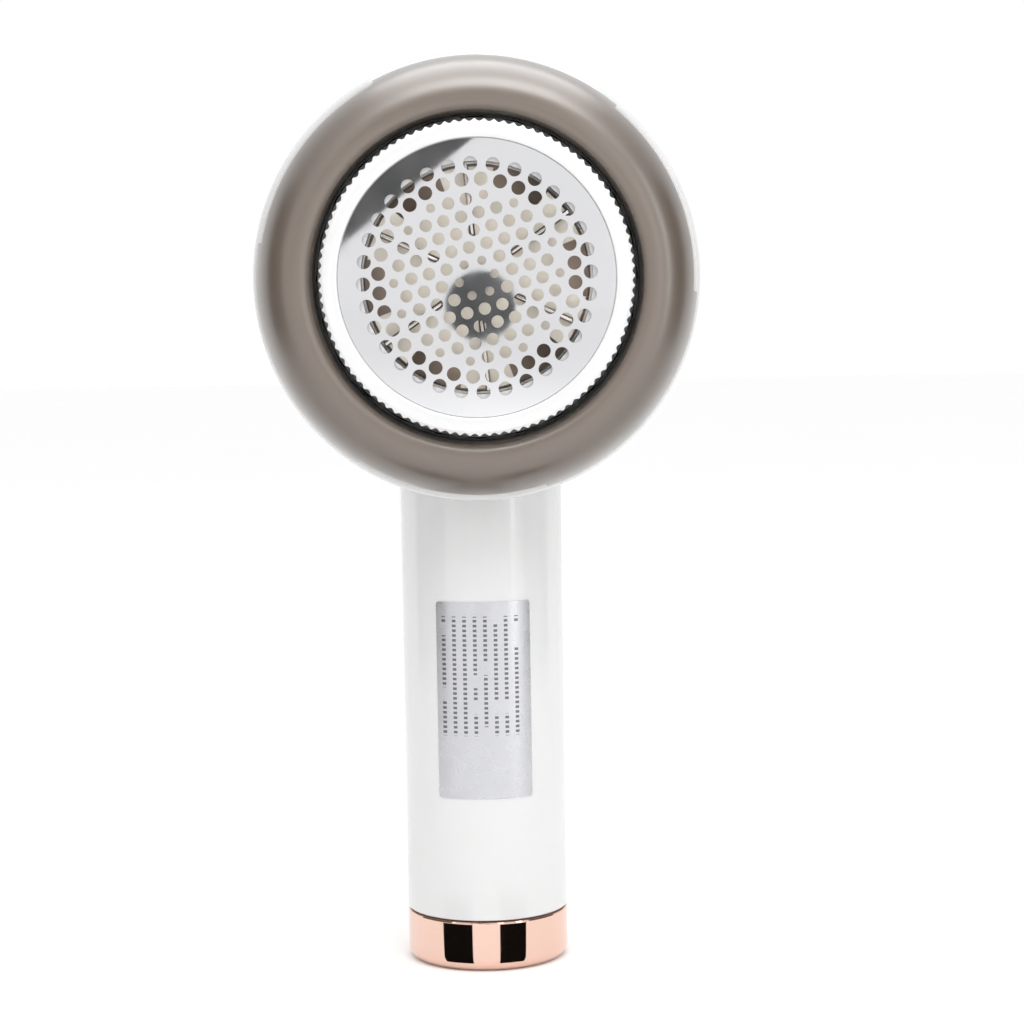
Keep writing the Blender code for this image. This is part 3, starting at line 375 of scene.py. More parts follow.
@dataclass(frozen=True)
class Finish:
    """A procedural finish of one real material.

    Sizes are millimetres. The grain gives the bump, the cloud gives slow changes of
    colour and gloss, as handling and moulding leave.
    """

    name: str
    colour: str
    roughness: float
    metallic: float = 0.0
    ior: float = 1.5
    grain: Grain = Grain.MOULDED
    grain_size: float = 0.4
    grain_depth: float = 0.002
    cloud_size: float = 18.0
    cloud_colour: str = ""
    cloud_amount: float = 0.25
    gloss_swing: float = 0.05
    transmission: float = 0.0
    coat: float = 0.0
    coat_roughness: float = 0.05
    subsurface: float = 0.0
    glow_depth: float = 1.5
    anisotropy: float = 0.0

    def build(self) -> Material:
        """Make the material with its nodes.

        Returns:
            The material.
        """
        made = bpy.data.materials.new(self.name)
        made.use_nodes = True
        tree = made.node_tree
        shader = tree.nodes["Principled BSDF"]
        places = add_node(tree, "ShaderNodeTexCoord").outputs["Object"]
        self.set_constants(shader)
        tree.links.new(self.paint(tree, places), shader.inputs["Base Color"])
        tree.links.new(self.gloss(tree, places), shader.inputs["Roughness"])
        tree.links.new(self.relief(tree, places), shader.inputs["Normal"])
        return made

    def set_constants(self, shader: bpy.types.Node) -> None:
        """Set what is the same all over on the shader itself.

        Args:
            shader: the material's main node.
        """
        constants = {"Metallic": self.metallic, "IOR": self.ior,
                     "Transmission Weight": self.transmission,
                     "Coat Weight": self.coat, "Coat Roughness": self.coat_roughness,
                     "Subsurface Weight": self.subsurface,
                     "Subsurface Scale": self.glow_depth * MM,
                     "Anisotropic": self.anisotropy}
        for name, value in constants.items():
            shader.inputs[name].default_value = value

    def clouds(self, tree: Tree, places: Socket,
               size: float) -> Socket:
        """Give slow noise.

        Args:
            tree: the material's node tree.
            places: Object coordinates.
            size: the noise's size in millimetres.

        Returns:
            The socket that gives it.
        """
        noise = add_node(tree, "ShaderNodeTexNoise", {
            "Vector": places, "Scale": 1.0 / (size * MM), "Detail": 3.0,
            "Roughness": 0.55})
        return noise.outputs["Fac"]

    def paint(self, tree: Tree,
              places: Socket) -> Socket:
        """Give the colour, drifting a little towards the cloud colour.

        Args:
            tree: the material's node tree.
            places: Object coordinates.

        Returns:
            The socket that gives it.
        """
        spread = add_node(tree, "ShaderNodeMapRange", {
            "Value": self.clouds(tree, places, self.cloud_size),
            "From Min": 0.35, "From Max": 0.65, "To Max": self.cloud_amount})
        mix = add_node(tree, "ShaderNodeMix", {
            "Factor": spread.outputs["Result"], "A": linear(self.colour),
            "B": linear(self.cloud_colour or self.colour)}, data_type="RGBA")
        return mix.outputs["Result"]

    def gloss(self, tree: Tree,
              places: Socket) -> Socket:
        """Give the roughness, with smears of wear.

        Args:
            tree: the material's node tree.
            places: Object coordinates.

        Returns:
            The socket that gives it.
        """
        swing = add_node(tree, "ShaderNodeMapRange", {
            "Value": self.clouds(tree, places, self.cloud_size / 3.0),
            "From Min": 0.3, "From Max": 0.7,
            "To Min": max(self.roughness - self.gloss_swing, 0.01),
            "To Max": self.roughness + self.gloss_swing})
        return swing.outputs["Result"]

    def relief(self, tree: Tree,
               places: Socket) -> Socket:
        """Give the fine bump of the grain.

        Args:
            tree: the material's node tree.
            places: Object coordinates.

        Returns:
            The socket that gives it.
        """
        scale = [1.0 / (self.grain_size * MM) * stretch for stretch in self.grain.value]
        mapping = add_node(tree, "ShaderNodeMapping", {"Vector": places, "Scale": scale})
        noise = add_node(tree, "ShaderNodeTexNoise", {
            "Vector": mapping.outputs["Vector"], "Scale": 1.0, "Detail": 2.0})
        bump = add_node(tree, "ShaderNodeBump", {
            "Height": noise.outputs["Fac"], "Strength": 0.5,
            "Distance": self.grain_depth * MM})
        return bump.outputs["Normal"]


@dataclass(frozen=True)
class LabelFinish(Finish):
    """Satin silver film, printed with columns of plain ticks and no lettering.

    The columns run up the handle. Each is a row of ticks the size of small print,
    broken into groups by noise.
    """

    ink: str = "#6f6f73"
    column_pitch: float = 2.02
    column_share: float = 0.36
    tick: float = 0.95
    tick_share: float = 0.55
    word: float = 0.37
    gap_share: float = 0.22
    print_low: float = 47.0
    print_high: float = 70.5
    half_width: float = 8.1

    def paint(self, tree: Tree,
              places: Socket) -> Socket:
        """Give the film's colour with its columns of ticks.

        Args:
            tree: the material's node tree.
            places: Object coordinates.

        Returns:
            The socket that gives it.
        """
        base = super().paint(tree, places)
        split = add_node(tree, "ShaderNodeSeparateXYZ", {"Vector": places})
        across, up = split.outputs["X"], split.outputs["Z"]
        near = add_node(tree, "ShaderNodeMath", {0: across}, operation="ABSOLUTE")
        cell = add_node(tree, "ShaderNodeMapping", {
            "Vector": places, "Scale": (1.0 / (self.column_pitch * MM), 0.0,
                                        self.word / (self.tick * MM))})
        whole = add_node(tree, "ShaderNodeVectorMath", {0: cell.outputs["Vector"]},
                         operation="FLOOR")
        words = add_node(tree, "ShaderNodeTexWhiteNoise", {
            "Vector": whole.outputs["Vector"]})
        mask = self.repeat(tree, across, self.column_pitch, self.column_share)
        limits = ((self.repeat(tree, up, self.tick, self.tick_share), "GREATER_THAN", 0.5),
                  (words.outputs["Value"], "GREATER_THAN", self.gap_share),
                  (up, "GREATER_THAN", self.print_low * MM),
                  (up, "LESS_THAN", self.print_high * MM),
                  (near.outputs["Value"], "LESS_THAN", self.half_width * MM))
        for value, comparison, limit in limits:
            kept = add_node(tree, "ShaderNodeMath", {0: value, 1: limit},
                            operation=comparison)
            mask = add_node(tree, "ShaderNodeMath", {0: mask, 1: kept.outputs["Value"]},
                            operation="MULTIPLY").outputs["Value"]
        mix = add_node(tree, "ShaderNodeMix", {
            "Factor": mask, "A": base, "B": linear(self.ink)}, data_type="RGBA")
        return mix.outputs["Result"]

    def repeat(self, tree: Tree, along: Socket, pitch: float, share: float) -> Socket:
        """Give a stripe that repeats.

        Args:
            tree: the material's node tree.
            along: the coordinate that it repeats along.
            pitch: its repeat in millimetres.
            share: the share of each repeat that gives 1 and not 0.

        Returns:
            The socket that gives it.
        """
        part = along
        for operation, value in (("MULTIPLY", 1.0 / (pitch * MM)), ("FRACT", 0.0),
                                 ("LESS_THAN", share)):
            part = add_node(tree, "ShaderNodeMath", {0: part, 1: value},
                            operation=operation).outputs["Value"]
        return part


@dataclass(frozen=True)
class SmokePaintedLightFinish(Finish):
    """Smoke-tinted clear plastic, with painted light: paler round the mouth, in place of light
    coming through.
    """

    # The pale colour is painted light: full near the mouth, fading out further from the axis.
    pale: str = "#73665b"
    painted_light_full_to: float = 33.5
    painted_light_gone_from: float = 38.0

    def paint(self, tree: Tree,
              places: Socket) -> Socket:
        """Give the tint, with painted light paler towards the mouth, by distance from the head's
        axis.

        Args:
            tree: the material's node tree.
            places: Object coordinates.

        Returns:
            The socket that gives it.
        """
        base = super().paint(tree, places)
        flat = add_node(tree, "ShaderNodeMapping", {
            "Vector": places, "Location": (0.0, 0.0, -HEAD_AXIS.origin.z),
            "Scale": (1.0, 0.0, 1.0)})
        reach = add_node(tree, "ShaderNodeVectorMath", {0: flat.outputs["Vector"]},
                         operation="LENGTH")
        share = add_node(tree, "ShaderNodeMapRange", {
            "Value": reach.outputs["Value"], "From Min": self.painted_light_full_to * MM,
            "From Max": self.painted_light_gone_from * MM, "To Min": 1.0, "To Max": 0.0})
        mix = add_node(tree, "ShaderNodeMix", {
            "Factor": share.outputs["Result"], "A": base, "B": linear(self.pale)},
            data_type="RGBA")
        return mix.outputs["Result"]


class Finishes:
    """Every finish of the shaver, made once and shared by its pieces."""

    def __init__(self) -> None:
        """Make the materials."""
        # Injection-moulded ABS polished in the mould: bright white, clear soft reflections.
        self.white_abs = Finish("white_abs_gloss", "#d4d4d4", 0.16, cloud_colour="#d0d0d0",
                                grain_size=1.6, grain_depth=0.004, subsurface=0.08,
                                coat=0.3, gloss_swing=0.03).build()
        # Clear acrylic ring moulded over white: cooler and shinier than the body.
        self.ring_acrylic = Finish("ring_acrylic_white", "#dcdcdc", 0.12,
                                   cloud_colour="#d5d6d7", grain_size=0.9,
                                   grain_depth=0.003, coat=0.5, subsurface=0.1).build()
        # Smoke-tinted polycarbonate with a fine satin mould texture: brown, and only a little clear;
        # paler round the mouth as painted light.
        self.smoke_with_painted_light = SmokePaintedLightFinish("smoke_polycarbonate_painted_light", "#615449", 0.34, ior=1.58,
                                 cloud_colour="#54483f", cloud_amount=0.5,
                                 grain_size=0.8, grain_depth=0.006, transmission=0.15,
                                 coat=1.0, coat_roughness=0.32).build()
        # Etched and mirror-polished stainless sheet with faint circular handling marks.
        self.foil_steel = Finish("foil_stainless_mirror", "#e2e2e4", 0.045, metallic=1.0,
                                 grain=Grain.TURNED_FRONT, grain_size=0.35,
                                 grain_depth=0.00035, cloud_colour="#d6d7da",
                                 gloss_swing=0.02).build()
        # Rose-gold chrome plate over moulded ABS: near mirror, warm pink.
        self.rose_gold = Finish("rose_gold_plate", "#e6c5b6", 0.05, metallic=1.0,
                                grain_size=2.2, grain_depth=0.002,
                                cloud_colour="#e2b9a6", gloss_swing=0.02).build()
        # Cream glass-filled nylon: matt, slightly mottled.
        self.cream_nylon = Finish("cream_nylon", "#f0e9dd", 0.45, cloud_colour="#e4dbcd",
                                  cloud_size=5.0, grain_size=0.25, grain_depth=0.01,
                                  subsurface=0.05).build()
        # Brown fibre shield, dusty and matt.
        self.fibre = Finish("brown_fibre", "#948579", 0.75, cloud_colour="#85776b",
                            cloud_size=3.0, grain_size=0.2, grain_depth=0.03).build()
        # Ground blade steel: fine lines along the strip.
        self.blade_steel = Finish("blade_steel_ground", "#cfcdca", 0.22, metallic=1.0,
                                  grain=Grain.BRUSHED_ACROSS, grain_size=0.12,
                                  grain_depth=0.002, cloud_colour="#b9b5b0",
                                  anisotropy=0.4).build()
        # Zinc-plated steel of the screws, shaft and motor can.
        self.zinc = Finish("zinc_plated_steel", "#b4b6b9", 0.32, metallic=1.0,
                           cloud_colour="#9fa3a8", cloud_size=6.0, grain_size=0.3,
                           grain_depth=0.004).build()
        # Cartridge brass, lightly tarnished.
        self.brass = Finish("brass_tarnished", "#c9a25c", 0.3, metallic=1.0,
                            cloud_colour="#a8833f", cloud_size=3.0, grain_size=0.3,
                            grain_depth=0.004).build()
        # Copper winding wire, varnished.
        self.copper = Finish("copper_winding", "#b5673f", 0.35, metallic=1.0,
                             grain=Grain.TURNED_FRONT, grain_size=0.3, grain_depth=0.05,
                             cloud_colour="#8f4a2b").build()
        # Black glass-filled plastic of the socket, switch and end bell.
        self.black_plastic = Finish("black_pbt", "#1b1b1c", 0.5, cloud_colour="#232324",
                                    grain_size=0.3, grain_depth=0.01).build()
        # Nitrile rubber of the seal, with a talc bloom.
        self.rubber = Finish("nitrile_rubber", "#161616", 0.75, cloud_colour="#2a2a2a",
                             cloud_size=4.0, grain_size=0.2, grain_depth=0.01).build()
        # Grey recycled ABS of the battery cradle, satin from the mould.
        self.grey_abs = Finish("grey_abs_satin", "#8d8f90", 0.5, cloud_colour="#7f8182",
                               grain_size=0.3, grain_depth=0.012).build()
        # Heat-shrunk film round the cell, tight and glossy.
        self.shrink = Finish("blue_shrink_film", "#2f63a0", 0.25, cloud_colour="#285689",
                             grain=Grain.DRAWN_UP, grain_size=1.2,
                             grain_depth=0.02).build()
        # Epoxy board under green solder mask: glass weave shows through.
        self.solder_mask = Finish("green_solder_mask", "#1f6b3a", 0.3,
                                  cloud_colour="#185630", cloud_size=1.0, grain_size=0.3,
                                  grain_depth=0.01).build()
        # PVC wire insulation.
        self.red_pvc = Finish("red_pvc", "#b3221c", 0.4, cloud_colour="#9c1b16",
                              grain=Grain.DRAWN_UP, grain_size=0.4,
                              grain_depth=0.01).build()
        self.black_pvc = Finish("black_pvc", "#1a1a1a", 0.4, cloud_colour="#262626",
                                grain=Grain.DRAWN_UP, grain_size=0.4,
                                grain_depth=0.01).build()
        # Clear light pipe, tinted amber.
        self.light_pipe = Finish("amber_light_pipe", "#e8a58c", 0.2, cloud_colour="#dd9075",
                                 cloud_size=1.0, grain_size=0.5, grain_depth=0.003,
                                 transmission=0.4).build()
        # Silver polyester film of the rating label.
        self.label_film = LabelFinish("silver_polyester_film", "#c6c6c9", 0.28,
                                      metallic=0.9, cloud_colour="#bbbcbf",
                                      cloud_size=9.0, grain_size=0.3,
                                      grain_depth=0.002).build()


def dress(piece: Piece, finish: Material) -> None:
    """Give a piece one finish all over."""
    piece.data.materials.clear()
    piece.data.materials.append(finish)


def dress_nodes(finish: Material, *nodes: str) -> None:
    """Give CAD nodes a finish in their own material slots.

    Args:
        finish: the material.
        nodes: the CAD nodes' names.
    """
    for node in nodes:
        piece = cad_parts[node]
        for slot in piece.material_slots:
            slot.material = finish
        log.info("dressed %s in %s", node, finish.name)


def fit_piece(piece: Piece, body: str, node: str,
              finish: Material) -> None:
    """Finish a piece that stands for a CAD node.

    Args:
        piece: the piece.
        body: the body that it rides on.
        node: the CAD node that it replaces.
        finish: its material.
    """
    dress(piece, finish)
    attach(piece, body)
    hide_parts(node)
    log.info("built %s on %s, %d faces", piece.name, body, len(piece.data.polygons))


def refine(node: str, body: str, finish: Material,
           edge: float = 0.12) -> Piece:
    """Stand in for a CAD node with a copy that is merged, edge-rounded and smooth.

    Args:
        node: the CAD node.
        body: the body that it rides on.
        finish: its material.
        edge: width of the rounded edges in millimetres, 0 for none.

    Returns:
        The finished piece.
    """
    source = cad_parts[node]
    piece = bpy.data.objects.new(node + "_fine", source.data.copy())
    bpy.context.scene.collection.objects.link(piece)
    activate(piece)
    bpy.ops.object.mode_set(mode="EDIT")
    bpy.ops.mesh.select_all(action="SELECT")
    bpy.ops.mesh.remove_doubles(threshold=MERGE)
    bpy.ops.mesh.dissolve_limited(angle_limit=math.radians(0.5))
    bpy.ops.object.mode_set(mode="OBJECT")
    if edge > 0.0:
        rounding = piece.modifiers.new("edges", "BEVEL")
        rounding.width = edge * MM
        rounding.segments = 2
        rounding.limit_method = "ANGLE"
        rounding.angle_limit = math.radians(38.0)
        bpy.ops.object.modifier_apply(modifier=rounding.name)
    smooth(piece, 35.0)
    fit_piece(piece, body, node, finish)
    return piece


# ---------------------------------------------------------------- sub-assemblies

@dataclass
class Handle:
    """One-piece white body with its plated foot, label and thumb button; millimetres."""

    finishes: Finishes
    head_radius: float = node_radius("body_shell")
    rim: float = node_front("body_shell")
    cup_side: float = 6.0
    dome_depth: float = 24.0
    dome_power: float = 2.5
    wall: float = 2.0
    rim_round: float = 1.2
    tube_radius: float = 16.0
    tube_top: float = 126.0
    tube_lip: float = 0.25
    bore_top: float = 122.0
    hole_reach: float = 5.0
    on_curve: float = 0.004
    on_side: float = 0.03
    same_way: float = 0.93
    seam: float = 10.3
    seam_gap: float = 0.3
    spigot_radius: float = 13.7
    spigot_bore: float = 12.0
    spigot_top: float = 14.0
    foot_floor: float = 2.0
    foot_recess: float = 8.0
    foot_rim: float = 0.3
    cap_round: float = 2.4
    label_low: float = 34.6
    label_high: float = 73.3
    label_width: float = 19.3
    label_corner: float = 0.6
    label_strips: int = 48
    label_thick: float = 0.1
    label_lift: float = 0.02
    button_radius: float = 5.2
    button_face: float = 16.55
    button_dish: float = 0.3
    button_flange: float = 6.2
    button_flange_top: float = 12.2
    button_flange_low: float = 11.0
    stem_radius: float = 1.5
    stem_end: float = 8.9
    bezel_bore: float = 5.5
    bezel_radius: float = 6.8
    bezel_low: float = 12.6
    bezel_top: float = 16.7
    bezel_round: float = 0.5
    bezel_inner_round: float = 0.35
    turned_steps: int = 144

    def build(self) -> None:
        """Build and dress every piece of the handle."""
        self.build_body()
        self.build_foot()
        self.build_label()
        self.build_button_cap()
        self.build_bezel()

    def cup(self, radius: float, depth: float, front: float, rounding: float) -> Profile:
        """Give the head cup's profile.

        Args:
            radius: radius of the cup's side.
            depth: how far the dome lies behind the side.
            front: the front end.
            rounding: rounding of the front edge, 0 for none.

        Returns:
            Profile points from the back to the front.
        """
        back = quarter(0.0, radius, self.cup_side, self.cup_side - depth,
                       self.dome_power, 26)
        edge = [(radius, front)]
        if rounding:
            edge = arc((radius - rounding, front - rounding), rounding, 0.0, 90.0, 8)
        return back + edge + [(0.0, front)]

    def build_body(self) -> None:
        """Turn the cup and the tube, join them, hollow them and cut their holes."""
        body = lathe("body_shell_moulding", HEAD_AXIS,
                     self.cup(self.head_radius, self.dome_depth, self.rim,
                              self.rim_round), self.turned_steps)
        lip = self.tube_lip
        tube = lathe("tube", HANDLE_AXIS, [
            (0.0, self.seam), (self.tube_radius - lip, self.seam),
            (self.tube_radius, self.seam + lip), (self.tube_radius, self.seam + 0.6),
            (self.tube_radius, self.tube_top), (0.0, self.tube_top)],
            self.turned_steps - 8)
        cavity = lathe("cavity", HEAD_AXIS,
                       self.cup(self.head_radius - self.wall,
                                self.dome_depth - self.wall, self.rim + 1.0, 0.0),
                       self.turned_steps - 4)
        bore = lathe("bore", HANDLE_AXIS, [
            (0.0, 0.0), (self.tube_radius - self.wall, 0.0),
            (self.tube_radius - self.wall, self.bore_top), (0.0, self.bore_top)], 96)
        carve(body, "UNION", tube)
        carve(body, "DIFFERENCE", cavity, bore, *self.hole_tools())
        smooth(body, 28.0)
        self.true_normals(body)
        fit_piece(body, "handle_body", "body_shell",
                  self.finishes.white_abs)

    def outer_normal(self, place: Vector) -> Optional[Vector]:
        """Give the true normal of the cup's or tube's outside at a point.

        Args:
            place: a point in metres.

        Returns:
            The normal, or None where the point is on neither.
        """
        radius, degrees, ahead = head_polar(place)
        angle = math.radians(degrees)
        across = Vector((math.cos(angle), 0.0, math.sin(angle)))
        if ahead <= self.cup_side:
            out = radius / self.head_radius
            back = (self.cup_side - ahead) / self.dome_depth
            power = self.dome_power - 1.0
            if abs(out * out ** power + back * back ** power - 1.0) < self.on_curve:
                return (across * out ** power / self.head_radius
                        + Vector((0.0, back ** power / self.dome_depth, 0.0))).normalized()
        elif abs(radius - self.head_radius) < self.on_side:
            return across
        flat = Vector((place.x, place.y, 0.0))
        if abs(flat.length / MM - self.tube_radius) < self.on_side:
            return flat.normalized()
        return None

    def true_normals(self, body: Piece) -> None:
        """Shade the joined cup and tube with their own curves' normals.

        Args:
            body: the joined and hollowed body.
        """
        mesh = body.data
        normals = [corner.vector.copy() for corner in mesh.corner_normals]
        for face in mesh.polygons:
            for corner in face.loop_indices:
                place = mesh.vertices[mesh.loops[corner].vertex_index].co
                true = self.outer_normal(place)
                if true is not None and true.dot(face.normal) > self.same_way:
                    normals[corner] = true
        mesh.normals_split_custom_set(normals)

    def hole_tools(self) -> list[Piece]:
        """Make the cutters of the button, socket and light holes.

        Returns:
            The cutters.
        """
        low, high = self.tube_radius - self.hole_reach, self.tube_radius + self.hole_reach
        tools = []
        for node, radius, steps in (("button_cap", 7.1, 48), ("charge_socket", 3.3, 40),
                                    ("charge_light", 1.7, 32)):
            axis = Axis(Vector((0.0, 0.0, box_centre(node).z)), Y_BACK, X_SIDE)
            tools.append(lathe(node + "_hole", axis, [
                (0.0, low), (radius, low), (radius, high), (0.0, high)], steps))
        return tools

    def build_foot(self) -> None:
        """Turn the plated foot cap with its spigot."""
        top = self.seam - self.seam_gap
        edge = [(self.tube_radius, top - 0.5), (self.tube_radius, self.cap_round + 0.3)]
        edge += arc((self.tube_radius - self.cap_round, self.cap_round), self.cap_round,
                    0.0, -90.0, 12)
        foot = lathe("base_cap_plated", HANDLE_AXIS, [
            (0.0, self.foot_floor), (self.spigot_bore, self.foot_floor),
            (self.spigot_bore, self.spigot_top), (self.spigot_radius, self.spigot_top),
            (self.spigot_radius, top), (self.tube_radius - 0.3, top),
            (self.tube_radius - 0.08, top - 0.08),
            (self.tube_radius, top - 0.3)] + edge
            + [(self.foot_recess, 0.0), (self.foot_recess - 0.4, self.foot_rim),
               (0.0, self.foot_rim)], self.turned_steps)
        smooth(foot, 28.0)
        fit_piece(foot, "handle_body", "base_cap", self.finishes.rose_gold)

    def build_label(self) -> None:
        """Wrap a thin film with rounded corners on the front of the handle."""
        deselect()
        middle = (self.label_low + self.label_high) / 2.0
        bpy.ops.mesh.primitive_plane_add(size=MM, location=(0.0, 0.0, middle * MM),
                                         rotation=(math.pi / 2.0, 0.0, 0.0))
        film = bpy.context.active_object
        film.name = "label_film"
        bpy.ops.object.mode_set(mode="EDIT")
        bpy.ops.transform.resize(value=(self.label_width, 1.0,
                                        self.label_high - self.label_low),
                                 center_override=(0.0, 0.0, middle * MM),
                                 orient_type="GLOBAL")
        bpy.ops.mesh.bevel(offset=self.label_corner * MM, segments=6, affect="VERTICES")
        for i in range(1, self.label_strips):
            bpy.ops.mesh.select_all(action="SELECT")
            across = self.label_width * (i / self.label_strips - 0.5) * MM
            bpy.ops.mesh.bisect(plane_co=(across, 0.0, 0.0), plane_no=X_SIDE)
        bpy.ops.object.mode_set(mode="OBJECT")
        bpy.ops.object.transform_apply(location=True, rotation=True, scale=True)
        surface = self.tube_radius + self.label_lift
        reshape(film, lambda p: Vector((surface * MM * math.sin(p.x / MM / surface),
                                        -surface * MM * math.cos(p.x / MM / surface),
                                        p.z)))
        thicken(film, self.label_thick)
        smooth(film, 40.0)
        fit_piece(film, "handle_body", "label", self.finishes.label_film)

    def build_button_cap(self) -> None:
        """Turn the thumb button with a shallow dish in its face."""
        dish = [(self.button_radius * i / 12.0 * 0.78,
                 self.button_face + self.button_dish * (i / 12.0) ** 2)
                for i in range(13)]
        shoulder = arc((self.button_radius - 0.85, self.button_face - 0.42), 0.85,
                       75.0, 0.0, 6)
        cap = lathe("button_cap_moulding", BUTTON_AXIS, dish + shoulder + [
            (self.button_radius, self.button_flange_top),
            (self.button_flange, self.button_flange_top),
            (self.button_flange, self.button_flange_low),
            (self.stem_radius, self.button_flange_low),
            (self.stem_radius, self.stem_end), (0.0, self.stem_end)], 64)
        smooth(cap, 30.0)
        fit_piece(cap, "button", "button_cap", self.finishes.white_abs)

    def build_bezel(self) -> None:
        """Turn the plated ring round the button."""
        top, outer, inner = self.bezel_top, self.bezel_round, self.bezel_inner_round
        bezel = lathe("button_bezel_plated", BUTTON_AXIS, [
            (self.bezel_bore, self.bezel_low), (self.bezel_radius, self.bezel_low),
            (self.bezel_radius, top - outer)]
            + arc((self.bezel_radius - outer, top - outer), outer, 0.0, 90.0, 6)
            + arc((self.bezel_bore + inner, top - inner), inner, 90.0, 180.0, 5), 72)
        smooth(bezel, 30.0)
        fit_piece(bezel, "handle_body", "button_bezel",
                  self.finishes.rose_gold)


@dataclass
class LintBin:
    """Smoky doughnut bin with three finger notches, and its back plate; millimetres."""

    finishes: Finishes
    radius: float = node_radius("lint_bin")
    front: float = node_front("lint_bin")
    low: float = 16.8
    skirt_top: float = 18.0
    power: float = 2.2
    crown: float = 33.4
    mouth: float = 31.1
    wall: float = 1.9
    skirt_wall: float = 2.7
    lip_wall: float = 1.3
    lip_low: float = 25.5
    lip_round: float = 2.3
    notch: float = 1.2
    notches: tuple[tuple[float, float], ...] = ((22.75, 54.5), (143.5, 53.0),
                                                (262.0, 52.0))
    turned_steps: int = 720

    def build(self) -> None:
        """Build and dress the bin."""
        self.build_dome()
        refine("bin_base", "bin", self.finishes.smoke_with_painted_light)

    def build_dome(self) -> None:
        """Turn the dome with its inner lip and press the notches into its edge."""
        outer = quarter(self.crown, self.radius, self.skirt_top, self.front, self.power,
                        30)
        inner = quarter(self.crown, self.radius - self.skirt_wall, self.skirt_top,
                        self.front - self.wall, self.power, 16)
        lip = [(self.mouth, self.lip_low)]
        for i in range(11):
            angle = math.radians(9.0 * i)
            lip.append((self.crown - self.lip_round * math.cos(angle),
                        self.front - self.lip_round * 0.6 * (1.0 - math.sin(angle))))
        foot = [(self.radius, self.low + 0.25), (self.radius - 0.25, self.low),
                (self.radius - self.skirt_wall, self.low)]
        throat = [(self.mouth + self.lip_wall, self.front - self.wall - 0.6),
                  (self.mouth + self.lip_wall, self.lip_low)]
        dome = lathe("lint_bin_dome", HEAD_AXIS,
                     lip[:-1] + outer + foot + inner[::-1] + throat, self.turned_steps)
        reshape(dome, self.notched)
        smooth(dome, 30.0)
        fit_piece(dome, "bin", "lint_bin", self.finishes.smoke_with_painted_light)

    def notched(self, place: Vector) -> Vector:
        """Give a point's place once the finger notches are pressed in.

        Args:
            place: the point in metres.

        Returns:
            Its new place in metres.
        """
        radius, degrees, ahead = head_polar(place)
        for centre, span in self.notches:
            away = abs((degrees - centre + 180.0) % 360.0 - 180.0)
            depth = self.notch * (1.0 - ramp(away, span / 2.0 - 0.5, span / 2.0 + 0.1))
            radius = min(radius, self.radius - depth)
        return head_place(radius, degrees, ahead)


